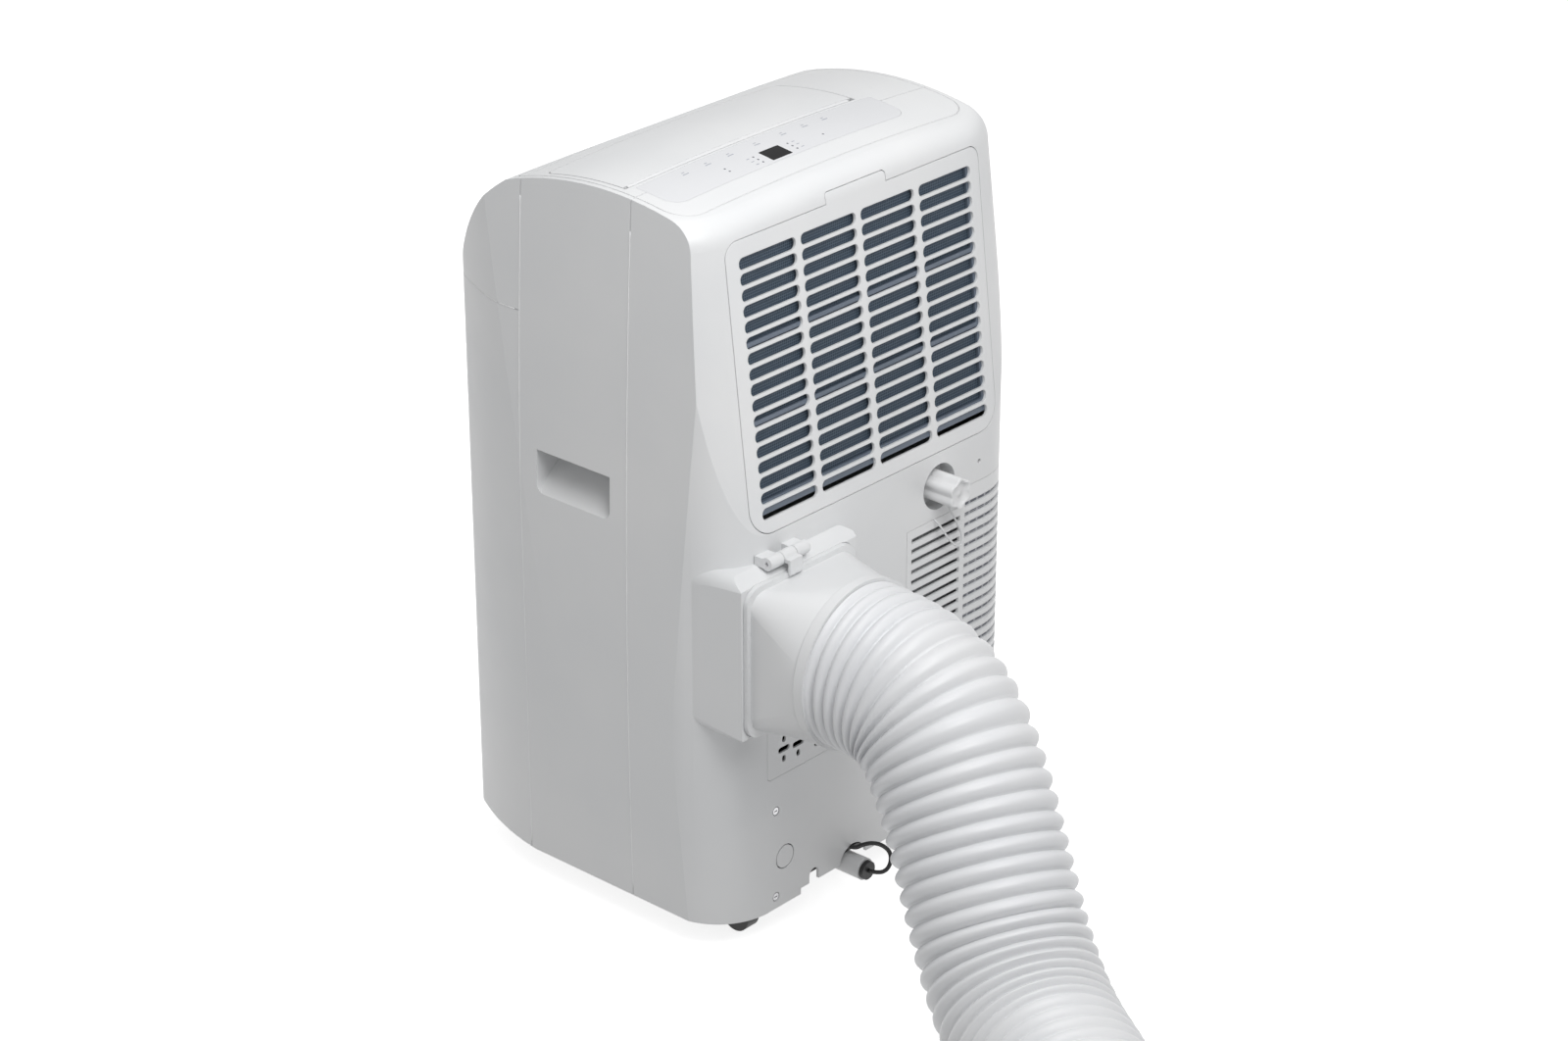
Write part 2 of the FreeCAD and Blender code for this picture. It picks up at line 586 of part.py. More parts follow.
def rear_shell(shell, outer):
    body = shell.common(slab(REAR_SEAM_DEPTH, -40)).cut(cover_region(0.0))
    mount = outlet_box()
    body = body.fuse(mount.cut(casing(WALL, 0.0)))
    # latch ears above the outlet
    ear_z = BOX_HIGH + LATCH_RISE
    for x0, x1 in ((LATCH_X - LATCH_HALF - LATCH_EAR, LATCH_X - LATCH_HALF - 0.5),
                   (LATCH_X + LATCH_HALF + 0.5, LATCH_X + LATCH_HALF + LATCH_EAR)):
        ear = rod(LATCH_R, x1 - x0, Vector(x0, LATCH_Y, ear_z), X)
        foot = box(x0, x1, REAR_Y - 1, LATCH_Y, ear_z - LATCH_R + 1.0, ear_z + LATCH_R - 2.0)
        body = body.fuse([ear, foot])
    body = body.cut(rod(LATCH_PIN_R, 80, Vector(LATCH_X - 40, LATCH_Y, ear_z), X))
    # opening and seat of the upper grille
    g = GRILLE_GAP
    opening = lean_prism(0, GRILLE_LOW - g, GRILLE_HIGH + g, 2 * (GRILLE_HALF + g),
                         (GRILLE_LOW_R + g, GRILLE_TOP_R + g), -30, 40)
    tab = lean_prism(0, GRILLE_HIGH - 20, GRILLE_HIGH + TAB_H + g, 2 * (TAB_HALF + g), (2.0, 4.0), -12, 40)
    body = body.cut(opening).cut(tab)
    # exhaust opening through the outlet box
    inner_w, inner_h = FLANGE_W - 22.0, FLANGE_H - 22.0
    hole = prism(rounded(OUTLET_X, OUTLET_Z, inner_w, inner_h, FLANGE_R - 6, "xz"), Vector(0, at(80), 0), 160, Y)
    body = body.cut(hole)
    # flange seat, 1 mm deep
    seat = prism(rounded(OUTLET_X, OUTLET_Z, FLANGE_W + 1.0, FLANGE_H + 1.0, FLANGE_R, "xz"),
                 Vector(0, REAR_Y + BOX_PROUD - 1.0, 0), 40, Y)
    body = body.cut(seat)
    # drain cap recess
    cup = rod(RECESS_R + 2.0, RECESS_DEEP, Vector(CAP_X, REAR_Y - RECESS_DEEP - 2.0, CAP_Z))
    body = body.fuse(cup).cut(rod(RECESS_R, RECESS_DEEP + 5, Vector(CAP_X, REAR_Y - RECESS_DEEP, CAP_Z)))
    body = body.cut(rod(NECK_R, 40, Vector(CAP_X, REAR_Y - 30, CAP_Z)))
    # lower grille opening, clear of the cap's recess
    opening = lower_grille_region(0.0).cut(rod(RECESS_R + 3.0, 60, Vector(CAP_X, REAR_Y - 40, CAP_Z)))
    body = body.cut(opening)
    # recess of the plug holder plate, knock-out, screw hole, notch and spout arch
    body = body.cut(prism(rounded(PLATE_X, PLATE_Z, PLATE_W + 0.4, PLATE_H + 0.4, 5.0, "xz"),
                          Vector(0, REAR_Y - PLATE_T, 0), 20, Y))
    body = body.cut(prism(rounded(PLATE_X + 5.0, PLATE_Z - 4.0, PLATE_W - 30.0, PLATE_H - 16.0, 3.0, "xz"),
                          Vector(0, REAR_Y - 10.0, 0), 20, Y))
    body = body.cut(rod(KNOCKOUT_R + KNOCKOUT_GAP, 20, Vector(KNOCKOUT_X, REAR_Y - 10, KNOCKOUT_Z)))
    for x, z in SCREW_SPOTS:
        body = body.cut(rod(SCREW_R + 1.0, 1.8, Vector(x, REAR_Y - 1.8, z)))
        body = body.cut(rod(SCREW_SHANK_R, 20, Vector(x, REAR_Y - 15, z)))
    notch_r = 6.5
    body = body.cut(rod(notch_r, 30, Vector(NOTCH_X, REAR_Y - 20, NOTCH_Z)))
    body = body.cut(box(NOTCH_X - notch_r, NOTCH_X + notch_r, REAR_Y - 20, REAR_Y + 5, 0, NOTCH_Z))
    body = body.cut(box(LG_RIGHT, NOTCH_X + 18, REAR_Y - 20, REAR_Y + 5, 0, BOTTOM_Z + 6))
    arch_r = SPOUT_R + 8.0
    body = body.cut(rod(arch_r, 40, Vector(SPOUT_X - 4, REAR_Y - 30, SPOUT_Z)))
    body = body.cut(box(SPOUT_X - 4 - arch_r, SPOUT_X - 4 + arch_r, REAR_Y - 30, REAR_Y + 5, 0, SPOUT_Z))
    body = body.cut(rod(2.0, 20, Vector(SMALL_HOLE_X, REAR_Y - 10, SMALL_HOLE_Z)))
    return body.removeSplitter()


def largest(shape):
    return max(shape.Solids, key=lambda s: s.Volume)


def grille_plate(outer, skin):
    """The upper grille: a plate of the leaning face with slots and a finger tab."""
    wall = outer.cut(skin)
    plate = lean_prism(0, GRILLE_LOW, GRILLE_HIGH, 2 * GRILLE_HALF, (GRILLE_LOW_R, GRILLE_TOP_R), -20, 20)
    tab = lean_prism(0, GRILLE_HIGH - 10, GRILLE_HIGH + TAB_H, 2 * TAB_HALF, (2.0, 4.0), -20, 20)
    plate = largest(wall.common(plate.fuse(tab)))
    slots = []
    slot_w = (2 * SLOT_AREA_HALF - (SLOT_COLS - 1) * SLOT_BAR) / SLOT_COLS
    for row in range(SLOT_ROWS):
        z = SLOT_FIRST_Z + row * SLOT_PITCH
        for col in range(SLOT_COLS):
            x = -SLOT_AREA_HALF + slot_w / 2.0 + col * (slot_w + SLOT_BAR)
            slots.append(lean_prism(x, z - SLOT_H / 2, z + SLOT_H / 2, slot_w, SLOT_H * 0.45, -20, 20))
    return plate.cut(Part.makeCompound(slots)).removeSplitter()


def lower_grille(outer, skin):
    """Louvre bars that wrap round the rear corner, with upright posts behind them."""
    region = lower_grille_region(-0.3).cut(rod(RECESS_R + 3.5, 60, Vector(CAP_X, REAR_Y - 40, CAP_Z)))
    frame = outer.cut(skin).common(region)
    rows = int((LG_TOP_HIGH - LG_BOTTOM - 12.0) / LG_PITCH)
    cuts = []
    posts = (LG_RIGHT - LG_POST, LG_STEP_X)
    for row in range(rows):
        z0 = LG_BOTTOM + 7.0 + row * LG_PITCH
        z1 = z0 + LG_PITCH - LG_BAR
        if z1 < LG_TOP_LOW - 5.0:
            near = CAP_Z - RECESS_R - 8.0
            if z1 < near:
                cuts.append(box(posts[1] + LG_POST / 2, posts[0], REAR_Y - 15, REAR_Y + 5, z0, z1))
            else:
                cuts.append(box(CAP_X + RECESS_R + 8, posts[0], REAR_Y - 15, REAR_Y + 5, z0, z1))
        if z1 < LG_TOP_HIGH - 4.0:
            cuts.append(box(-BIG, posts[1] - LG_POST / 2, at(LG_WRAP_DEPTH) + LG_POST, REAR_Y + 5, z0, z1))
    return frame.cut(Part.makeCompound(cuts)).removeSplitter()


def from_rear(points):
    return [Vector(x, REAR_Y + y, z) for x, y, z in points]


def top_height(x, depth):
    """Height of the casing's top surface."""
    arc = HEIGHT - TOP_ARC_R + math.sqrt(TOP_ARC_R ** 2 - (depth - TOP_APEX_DEPTH) ** 2)
    return arc - x ** 2 / (2.0 * TOP_CROWN_R)


# The flap turns about a straight line below the crowned top, so its rear edge is a barrel
# whose radius follows the crown, and the cover is cut back to the same barrel.
KNUCKLE_HALF = DUCT_HALF - 4.0
FLAP_EDGE = FLAP_X + FLAP_HALF
PIVOT_DEPTH = FLAP_REAR_DEPTH + 3.4
PIVOT_Z = top_height(FLAP_EDGE, PIVOT_DEPTH) - FLAP_KNUCKLE_R


def barrel(grow, half):
    """Solid of revolution about the flap's hinge line, just touching the crowned top."""
    y = at(PIVOT_DEPTH)

    def rim(x):
        return Vector(x, y, top_height(x, PIVOT_DEPTH) + grow)

    x0, x1 = FLAP_X - half, FLAP_X + half
    foot_l, foot_r = Vector(x0, y, PIVOT_Z), Vector(x1, y, PIVOT_Z)
    face = Part.Face(wire([Part.LineSegment(foot_l, rim(x0)), Part.Arc(rim(x0), rim(FLAP_X), rim(x1)),
                           Part.LineSegment(rim(x1), foot_r), Part.LineSegment(foot_r, foot_l)]))
    return face.revolve(Vector(0, y, PIVOT_Z), X, 360)


def flap_outline(grow, rear_depth):
    front = FLAP_FRONT_DEPTH + grow
    mid = at((front + rear_depth) / 2.0)
    face = rounded(FLAP_X, mid, 2 * (FLAP_HALF + grow), front - rear_depth, (7.0 + grow, 0.5))
    return prism(face, Vector(0, 0, COVER_UNDER_Z), 200.0, Z)


def film_outline(grow):
    x = (FILM_LEFT + FILM_RIGHT) / 2.0
    y = at((FILM_FRONT_DEPTH + FILM_REAR_DEPTH) / 2.0)
    w = FILM_LEFT - FILM_RIGHT + 2 * grow
    h = FILM_FRONT_DEPTH - FILM_REAR_DEPTH + 2 * grow
    return prism(rounded(x, y, w, h, (3.0, 16.0)), Vector(0, 0, COVER_UNDER_Z), 200.0, Z)


def display_outline(grow):
    face = rounded(DISPLAY_X, at(DISPLAY_DEPTH), DISPLAY_W + 2 * grow, DISPLAY_D + 2 * grow, 0.6)
    return prism(face, Vector(0, 0, COVER_UNDER_Z), 200.0, Z)


def top_parts(shell, outer, skin):
    cover = shell.common(cover_region(0.0))
    cover = cover.cut(flap_outline(FLAP_GAP, PIVOT_DEPTH)).cut(barrel(FLAP_GAP, FLAP_HALF + FLAP_GAP))
    film_floor = casing(FILM_T, 0.0)
    film = outer.cut(film_floor).common(film_outline(0.0))
    cover = cover.cut(outer.cut(film_floor).common(film_outline(0.1)))
    display = film.common(display_outline(0.0))
    film = film.cut(display_outline(0.1))
    save("top_cover", largest(cover))
    save("control_film", largest(film))
    save("display_window", largest(display))
    flap = outer.cut(casing(FLAP_T, 0.0)).common(flap_outline(0.0, PIVOT_DEPTH))
    flap = flap.fuse(barrel(-KNUCKLE_SUNK, KNUCKLE_HALF)).removeSplitter()
    pin_in = 14.0
    bores = [rod(FLAP_PIN_R + PIN_FIT, pin_in + 1, Vector(x, at(PIVOT_DEPTH), PIVOT_Z), X)
             for x in (FLAP_X - KNUCKLE_HALF - 1, FLAP_X + KNUCKLE_HALF - pin_in)]
    save("louver_flap", largest(flap.cut(bores[0]).cut(bores[1])))
    pins = [rod(FLAP_PIN_R, DUCT_HALF - KNUCKLE_HALF + pin_in - 0.5, Vector(x, at(PIVOT_DEPTH), PIVOT_Z), X)
            for x in (FLAP_X - DUCT_HALF, FLAP_X + KNUCKLE_HALF - pin_in + 0.5)]
    save("flap_pins", Part.makeCompound(pins))
    board_z = DUCT_RIM_Z - 2.0
    board = box(FILM_RIGHT + 12, FILM_LEFT - 14, at(FAN_REAR_DEPTH - 12), at(72), board_z, board_z + 1.6)
    posts = [rod(2.5, 60, Vector(x, y, board_z + 1.6), Z) for x in (FILM_RIGHT + 18, FILM_LEFT - 20)
             for y in (at(FAN_REAR_DEPTH - 18), at(78))]
    save("control_board", board.fuse([p.common(skin) for p in posts]))


def air_duct():
    """Open box under the flap that leads the cold air up, with the vanes' bearings."""
    y0, y1 = at(FLAP_FRONT_DEPTH), at(FLAP_REAR_DEPTH - 12.0)
    x0, x1 = FLAP_X - DUCT_HALF, FLAP_X + DUCT_HALF
    duct = box(x0, x1, y0, y1, DUCT_FOOT_Z, DUCT_RIM_Z)
    w = DUCT_WALL
    duct = duct.cut(box(x0 + w, x1 - w, y0 + w, y1 - w, DUCT_FOOT_Z - 1, DUCT_RIM_Z + 1))
    ear_r = FLAP_PIN_R + 1.2
    for x in (x0, x1 - w):
        ear = rod(ear_r, w, Vector(x, at(PIVOT_DEPTH), PIVOT_Z), X)
        duct = duct.fuse([ear, box(x, x + w, at(PIVOT_DEPTH) - ear_r, at(PIVOT_DEPTH) + ear_r, DUCT_RIM_Z - 4, PIVOT_Z)])
    duct = duct.cut(rod(FLAP_PIN_R, 2 * DUCT_HALF + 10, Vector(x0 - 5, at(PIVOT_DEPTH), PIVOT_Z), X))
    for x in vane_places():
        duct = duct.cut(rod(FLAP_PIN_R + PIN_FIT, 200, Vector(x, y0 - 10, VANE_Z)))
    return duct.removeSplitter()


def vane_places():
    return [FLAP_X + (i - (VANE_COUNT - 1) / 2.0) * VANE_PITCH for i in range(VANE_COUNT)]


def vane(x):
    y0, y1 = at(FLAP_FRONT_DEPTH) + DUCT_WALL + 2.0, at(FLAP_REAR_DEPTH - 12.0) - DUCT_WALL - 2.0
    stub = DUCT_WALL + 1.6
    mid = (y0 + y1) / 2.0
    blade = prism(rounded(mid, VANE_Z, y1 - y0, VANE_H, 6.0, "yz"), Vector(x - VANE_T / 2.0, 0, 0), VANE_T, X)
    trunnion = rod(FLAP_PIN_R, y1 - y0 + 2 * stub, Vector(x, y0 - stub, VANE_Z))
    return blade.fuse(trunnion).removeSplitter()


def hooks():
    """Two hooks that hold the grille's lower edge behind the wall below it; it tips about that edge."""
    back = REAR_Y - WALL - HOOK_GAP
    pieces = []
    for side in (-1, 1):
        x0 = side * HOOK_X - HOOK_W / 2.0
        pieces.append(box(x0, x0 + HOOK_W, back - HOOK_T, back, GRILLE_LOW - HOOK_DROP, GRILLE_LOW + 7.0))
        pieces.append(box(x0, x0 + HOOK_W, back - HOOK_T, REAR_Y - 1.5, GRILLE_LOW + 1.0, GRILLE_LOW + 7.0))
    return pieces


def filter_parts(plate, skin):
    save("upper_grille", largest(plate.fuse(hooks()).removeSplitter()))
    low, high = GRILLE_LOW + 17.0, GRILLE_HIGH - 5.0
    behind = casing(WALL + FILTER_T, 0.0)
    wide = 2 * GRILLE_HALF - 12.0
    frame = skin.cut(behind).common(lean_prism(0, low, high, wide, 6.0, -30, 10))
    ribs = [SLOT_FIRST_Z + SLOT_PITCH * n - 2.5 for n in FILTER_RIB_ROWS]
    bounds = [low + 12.0] + [z + side * FILTER_RIB / 2.0 for z in ribs for side in (-1, 1)] + [high - 9.0]
    for z0, z1 in zip(bounds[::2], bounds[1::2]):
        frame = frame.cut(lean_prism(0, z0, z1, wide - 22.0, 1.5, -30, 10))
    save("filter_frame", largest(frame))
    mesh = behind.cut(casing(WALL + FILTER_T + MESH_T, 0.0)).common(lean_prism(0, low, high, wide, 6.0, -30, 10))
    save("filter_mesh", largest(mesh))


def loop_wire(cx, cz, y, w, h, r, round_r=None):
    """A rounded rectangle, or a circle cut into the same eight edges, in an upright plane."""
    arcs = []
    for px, pz, start in ((1, 1, 0), (-1, 1, 90), (-1, -1, 180), (1, -1, 270)):
        arc = []
        for turn in (0, 45, 90):
            a = math.radians(start + turn)
            if round_r is None:
                ox, oz = cx + px * (w / 2.0 - r), cz + pz * (h / 2.0 - r)
                arc.append(Vector(ox + r * math.cos(a), y, oz + r * math.sin(a)))
            else:
                lean = math.radians(start + 45 + (turn - 45) * 0.6)
                arc.append(Vector(cx + round_r * math.cos(lean), y, cz + round_r * math.sin(lean)))
        arcs.append(arc)
    edges = []
    for i, arc in enumerate(arcs):
        following = arcs[(i + 1) % 4]
        edges.append(Part.Arc(*arc))
        if round_r is None:
            edges.append(Part.LineSegment(arc[2], following[0]))
        else:
            a = math.radians((i + 1) * 90)
            middle = Vector(cx + round_r * math.cos(a), y, cz + round_r * math.sin(a))
            edges.append(Part.Arc(arc[2], middle, following[0]))
    return wire(edges)


def exhaust_parts():
    face = REAR_Y + BOX_PROUD - 1.0
    front = face + FLANGE_T
    neck = REAR_Y + DUCT_REACH - COLLAR_LEN
    flange = prism(rounded(OUTLET_X, OUTLET_Z, FLANGE_W, FLANGE_H, FLANGE_R, "xz"), Vector(0, face, 0), FLANGE_T, Y)
    bell = COLLAR_R - 2.0

    def funnel(inset):
        w, h = FLANGE_W - 10 - 2 * inset, FLANGE_H - 10 - 2 * inset
        return Part.makeLoft([loop_wire(OUTLET_X, OUTLET_Z, front - 1.0, w, h, FLANGE_R - inset),
                              loop_wire(OUTLET_X, OUTLET_Z, neck, 0, 0, 0, bell - inset)], True, True)

    body = flange.fuse(funnel(0.0)).cut(funnel(ADAPTOR_WALL))
    inner = FLANGE_W - 10 - 2 * ADAPTOR_WALL, FLANGE_H - 10 - 2 * ADAPTOR_WALL
    body = body.cut(prism(rounded(OUTLET_X, OUTLET_Z, inner[0], inner[1], FLANGE_R - ADAPTOR_WALL, "xz"),
                          Vector(0, face - 1, 0), FLANGE_T, Y))
    save("exhaust_adaptor", largest(body.removeSplitter()))
    save("hose_collar", ring(COLLAR_R, bell - ADAPTOR_WALL, COLLAR_LEN, Vector(OUTLET_X, neck, OUTLET_Z)))
    route = from_rear(HOSE_ROUTE)
    save("exhaust_hose", tube(route, HOSE_R, HOSE_R - HOSE_WALL))
    away = route[-1] - route[-2]
    away.normalize()
    end = route[-1]
    socket = ring(HOSE_R + 2.0, SPIGOT_R - 3.0, 14.0, end, away)
    spigot = ring(SPIGOT_R, SPIGOT_R - 3.0, CONNECTOR_LEN - 14.0, end + away * 14.0, away)
    save("hose_connector", socket.fuse(spigot).removeSplitter())
    tip = end + away * CONNECTOR_LEN
    print("   connector tip", tip, "axis", away)
    # latch over the flange's upper edge
    z = BOX_HIGH + LATCH_RISE
    barrel_x = LATCH_X - LATCH_HALF
    wide = 2 * LATCH_HALF
    latch = rod(LATCH_R, wide, Vector(barrel_x, LATCH_Y, z), X)
    tab_y = front + 0.5
    latch = latch.fuse([box(barrel_x, barrel_x + wide, LATCH_Y + 2, tab_y + LATCH_TAB_T, z - 2.5, z + 1.0),
                        box(barrel_x, barrel_x + wide, tab_y, tab_y + LATCH_TAB_T, z - LATCH_TAB_H, z + 1.0)])
    latch = latch.cut(rod(LATCH_PIN_R + PIN_FIT, wide, Vector(barrel_x, LATCH_Y, z), X)).removeSplitter()
    save("adaptor_latch", latch)
    half = LATCH_HALF + LATCH_EAR
    save("latch_pin", rod(LATCH_PIN_R, 2 * half - 4, Vector(LATCH_X - half + 2, LATCH_Y, z), X))


def drain_parts():
    neck_y = REAR_Y - 30.0
    neck = ring(NECK_R, NECK_R - 2.0, 40.0, Vector(CAP_X, neck_y, CAP_Z))
    collar = ring(NECK_R + 4.0, NECK_R - 1.0, 3.0, Vector(CAP_X, REAR_Y - RECESS_DEEP, CAP_Z))
    save("drain_neck", neck.fuse(collar).removeSplitter())
    washer_y = REAR_Y - RECESS_DEEP + 3.4
    save("drain_cap_washer", ring(NECK_R + 2.5, NECK_R + PIN_FIT, 3.0, Vector(CAP_X, washer_y, CAP_Z)))
    cap_y = washer_y + 3.3
    cap = rod(CAP_R - 2.2, CAP_LEN + 4.0, Vector(CAP_X, cap_y, CAP_Z))
    lobes = []
    for i in range(6):
        a = math.radians(60 * i + 30)
        r = CAP_R - 4.2
        lobes.append(rod(4.2, CAP_LEN + 4.0, Vector(CAP_X + r * math.cos(a), cap_y, CAP_Z + r * math.sin(a))))
    cap = fused([cap] + lobes).cut(rod(NECK_R + PIN_FIT, REAR_Y + 10.5 - cap_y, Vector(CAP_X, cap_y, CAP_Z)))
    save("drain_cap", cap)
    save("cap_tether", tube(from_rear(TETHER_ROUTE), TETHER_R))
    # lower drain: spout under the pan, rubber plug and its strap
    out = REAR_Y + SPOUT_OUT
    start = Vector(SPOUT_X, REAR_Y - 34.0, SPOUT_Z)
    spout = rod(SPOUT_R, out - start.y, start).fuse(rod(7.0, PAN_Z - SPOUT_Z, Vector(SPOUT_X, REAR_Y - 24, SPOUT_Z), Z))
    bore = SPOUT_R - SPOUT_WALL
    spout = spout.cut(rod(bore, out - start.y, Vector(SPOUT_X, REAR_Y - 31.0, SPOUT_Z)))
    save("drain_spout", spout.removeSplitter())
    plug = rod(bore - PIN_FIT, 14.0, Vector(SPOUT_X, out - 13.6, SPOUT_Z))
    plug = plug.fuse(rod(bore + 1.0, 4.0, Vector(SPOUT_X, out + 0.4, SPOUT_Z))).removeSplitter()
    save("drain_plug", plug)
    save("plug_strap", tube(from_rear(STRAP_ROUTE), STRAP_R))


def rear_details():
    plate = prism(rounded(PLATE_X, PLATE_Z, PLATE_W, PLATE_H, 5.0, "xz"), Vector(0, REAR_Y - PLATE_T, 0), PLATE_T, Y)
    for cx, cz in ((PLATE_X + 27.0, PLATE_Z - 3.0), (PLATE_X + 8.0, PLATE_Z - 5.0), (PLATE_X - 16.0, PLATE_Z - 5.0)):
        holes = [pin_slot(cx, cz, 15.0, 5.4, 10), pin_slot(cx, cz + 10.0, 4.8, 6.4, 10), pin_slot(cx, cz - 9.6, 4.8, 6.4, 10)]
        plate = plate.cut(fused(holes))
    save("plug_holder", plate)
    disc = rod(KNOCKOUT_R, WALL, Vector(KNOCKOUT_X, REAR_Y - WALL, KNOCKOUT_Z))
    nib = box(KNOCKOUT_X - KNOCKOUT_R - KNOCKOUT_GAP, KNOCKOUT_X + KNOCKOUT_R + KNOCKOUT_GAP, REAR_Y - WALL, REAR_Y - 1.0,
              KNOCKOUT_Z - 0.8, KNOCKOUT_Z + 0.8)
    save("knockout_disc", disc.fuse(nib).removeSplitter())
    screws = []
    for x, z in SCREW_SPOTS:
        head = rod(SCREW_R, 1.4, Vector(x, REAR_Y - 1.8, z)).cut(box(x - 2.2, x + 2.2, REAR_Y - 1.2, REAR_Y, z - 0.5, z + 0.5))
        screws.append(head.fuse(rod(SCREW_SHANK_R, 11.0, Vector(x, REAR_Y - 12.8, z))).removeSplitter())
    save("shell_screws", Part.makeCompound(screws))


def caster_spots():
    return {"rear_right": (CASTER_X, CASTER_REAR_DEPTH), "rear_left": (-CASTER_X, CASTER_REAR_DEPTH),
            "front_right": (CASTER_X, CASTER_FRONT_DEPTH), "front_left": (-CASTER_X, CASTER_FRONT_DEPTH)}


def undercarriage(skin):
    pan = skin.common(slab(-50, DEPTH + 50, PAN_Z, PAN_Z + PAN_T))
    crown = 2 * WHEEL_R + 2.0
    for name, (x, depth) in caster_spots().items():
        y = at(depth)
        pan = pan.fuse(rod(STEM_R + 5.0, 9.0, Vector(x, y, PAN_Z), Z))
        pan = pan.cut(rod(STEM_R + PIN_FIT, 30.0, Vector(x, y, PAN_Z - 5), Z))
        wheel_y = y + CASTER_TRAIL
        wheel = rod(WHEEL_R, WHEEL_W, Vector(x - WHEEL_W / 2.0, wheel_y, WHEEL_R), X)
        wheel = wheel.cut(rod(AXLE_R + PIN_FIT, WHEEL_W, Vector(x - WHEEL_W / 2.0, wheel_y, WHEEL_R), X))
        save("caster_wheel_" + name, wheel)
        inside, outside = WHEEL_W / 2.0 + 0.6, WHEEL_W / 2.0 + 3.0
        fork = rod(13.0, 3.0, Vector(x, y, crown), Z).fuse(rod(8.0, PAN_Z - 0.5 - crown, Vector(x, y, crown), Z))
        fork = fork.fuse(rod(STEM_R, PAN_Z + 12.0 - crown, Vector(x, y, crown), Z))
        for side in (-1, 1):
            x0 = x + side * (inside + outside) / 2.0 - 1.2
            cheek = polygon([Vector(x0, y - 9, crown + 3), Vector(x0, y + 12, crown + 3), Vector(x0, wheel_y + 8, WHEEL_R + 6),
                             Vector(x0, wheel_y + 5, WHEEL_R - 6), Vector(x0, wheel_y - 5, WHEEL_R - 6), Vector(x0, y - 10, crown - 3)])
            fork = fork.fuse(cheek.extrude(Vector(2.4, 0, 0)))
        fork = fork.fuse(rod(AXLE_R, 2 * outside, Vector(x - outside, wheel_y, WHEEL_R), X))
        save("caster_fork_" + name, fork.removeSplitter())
    save("base_pan", largest(pan.removeSplitter()))


def blower(x, z, rear_depth, front_depth, r):
    """Centrifugal wheel: back plate, hub, a ring of blades and an end ring."""
    y0, y1 = at(front_depth), at(rear_depth)
    wheel = rod(r, 2.0, Vector(x, y0, z)).fuse(rod(12.0, 22.0, Vector(x, y0, z)))
    wheel = wheel.fuse(ring(r, r - 5.0, 2.0, Vector(x, y1 - 2.0, z)))
    blades = []
    for i in range(BLADES):
        blade = box(r - 14.0, r - 0.6, -0.7, 0.7, 0, y1 - y0)
        blade.rotate(Vector(r - 7, 0, 0), Z, 35)
        blade.rotate(Vector(0, 0, 0), Z, 360.0 * i / BLADES)
        blade.rotate(Vector(0, 0, 0), X, -90)
        blade.translate(Vector(x, y0, z))
        blades.append(blade)
    wheel = wheel.fuse(blades).common(rod(r, y1 - y0, Vector(x, y0, z)))
    return largest(wheel.cut(rod(SHAFT_R + PIN_FIT, 60, Vector(x, y0 - 5, z))))


def fan_motor(x, z, front_depth):
    y = at(front_depth)
    motor = rod(MOTOR_R, MOTOR_LEN, Vector(x, y - MOTOR_LEN, z))
    return motor.fuse(rod(SHAFT_R, 30.0, Vector(x, y, z))).removeSplitter()


def drum(x, z, rear_depth, front_depth, r):
    """Fan housing: a drum with an inlet on the rear and a shaft hole on the front."""
    y0, y1 = at(front_depth), at(rear_depth)
    return rod(r, y1 - y0, Vector(x, y0, z))


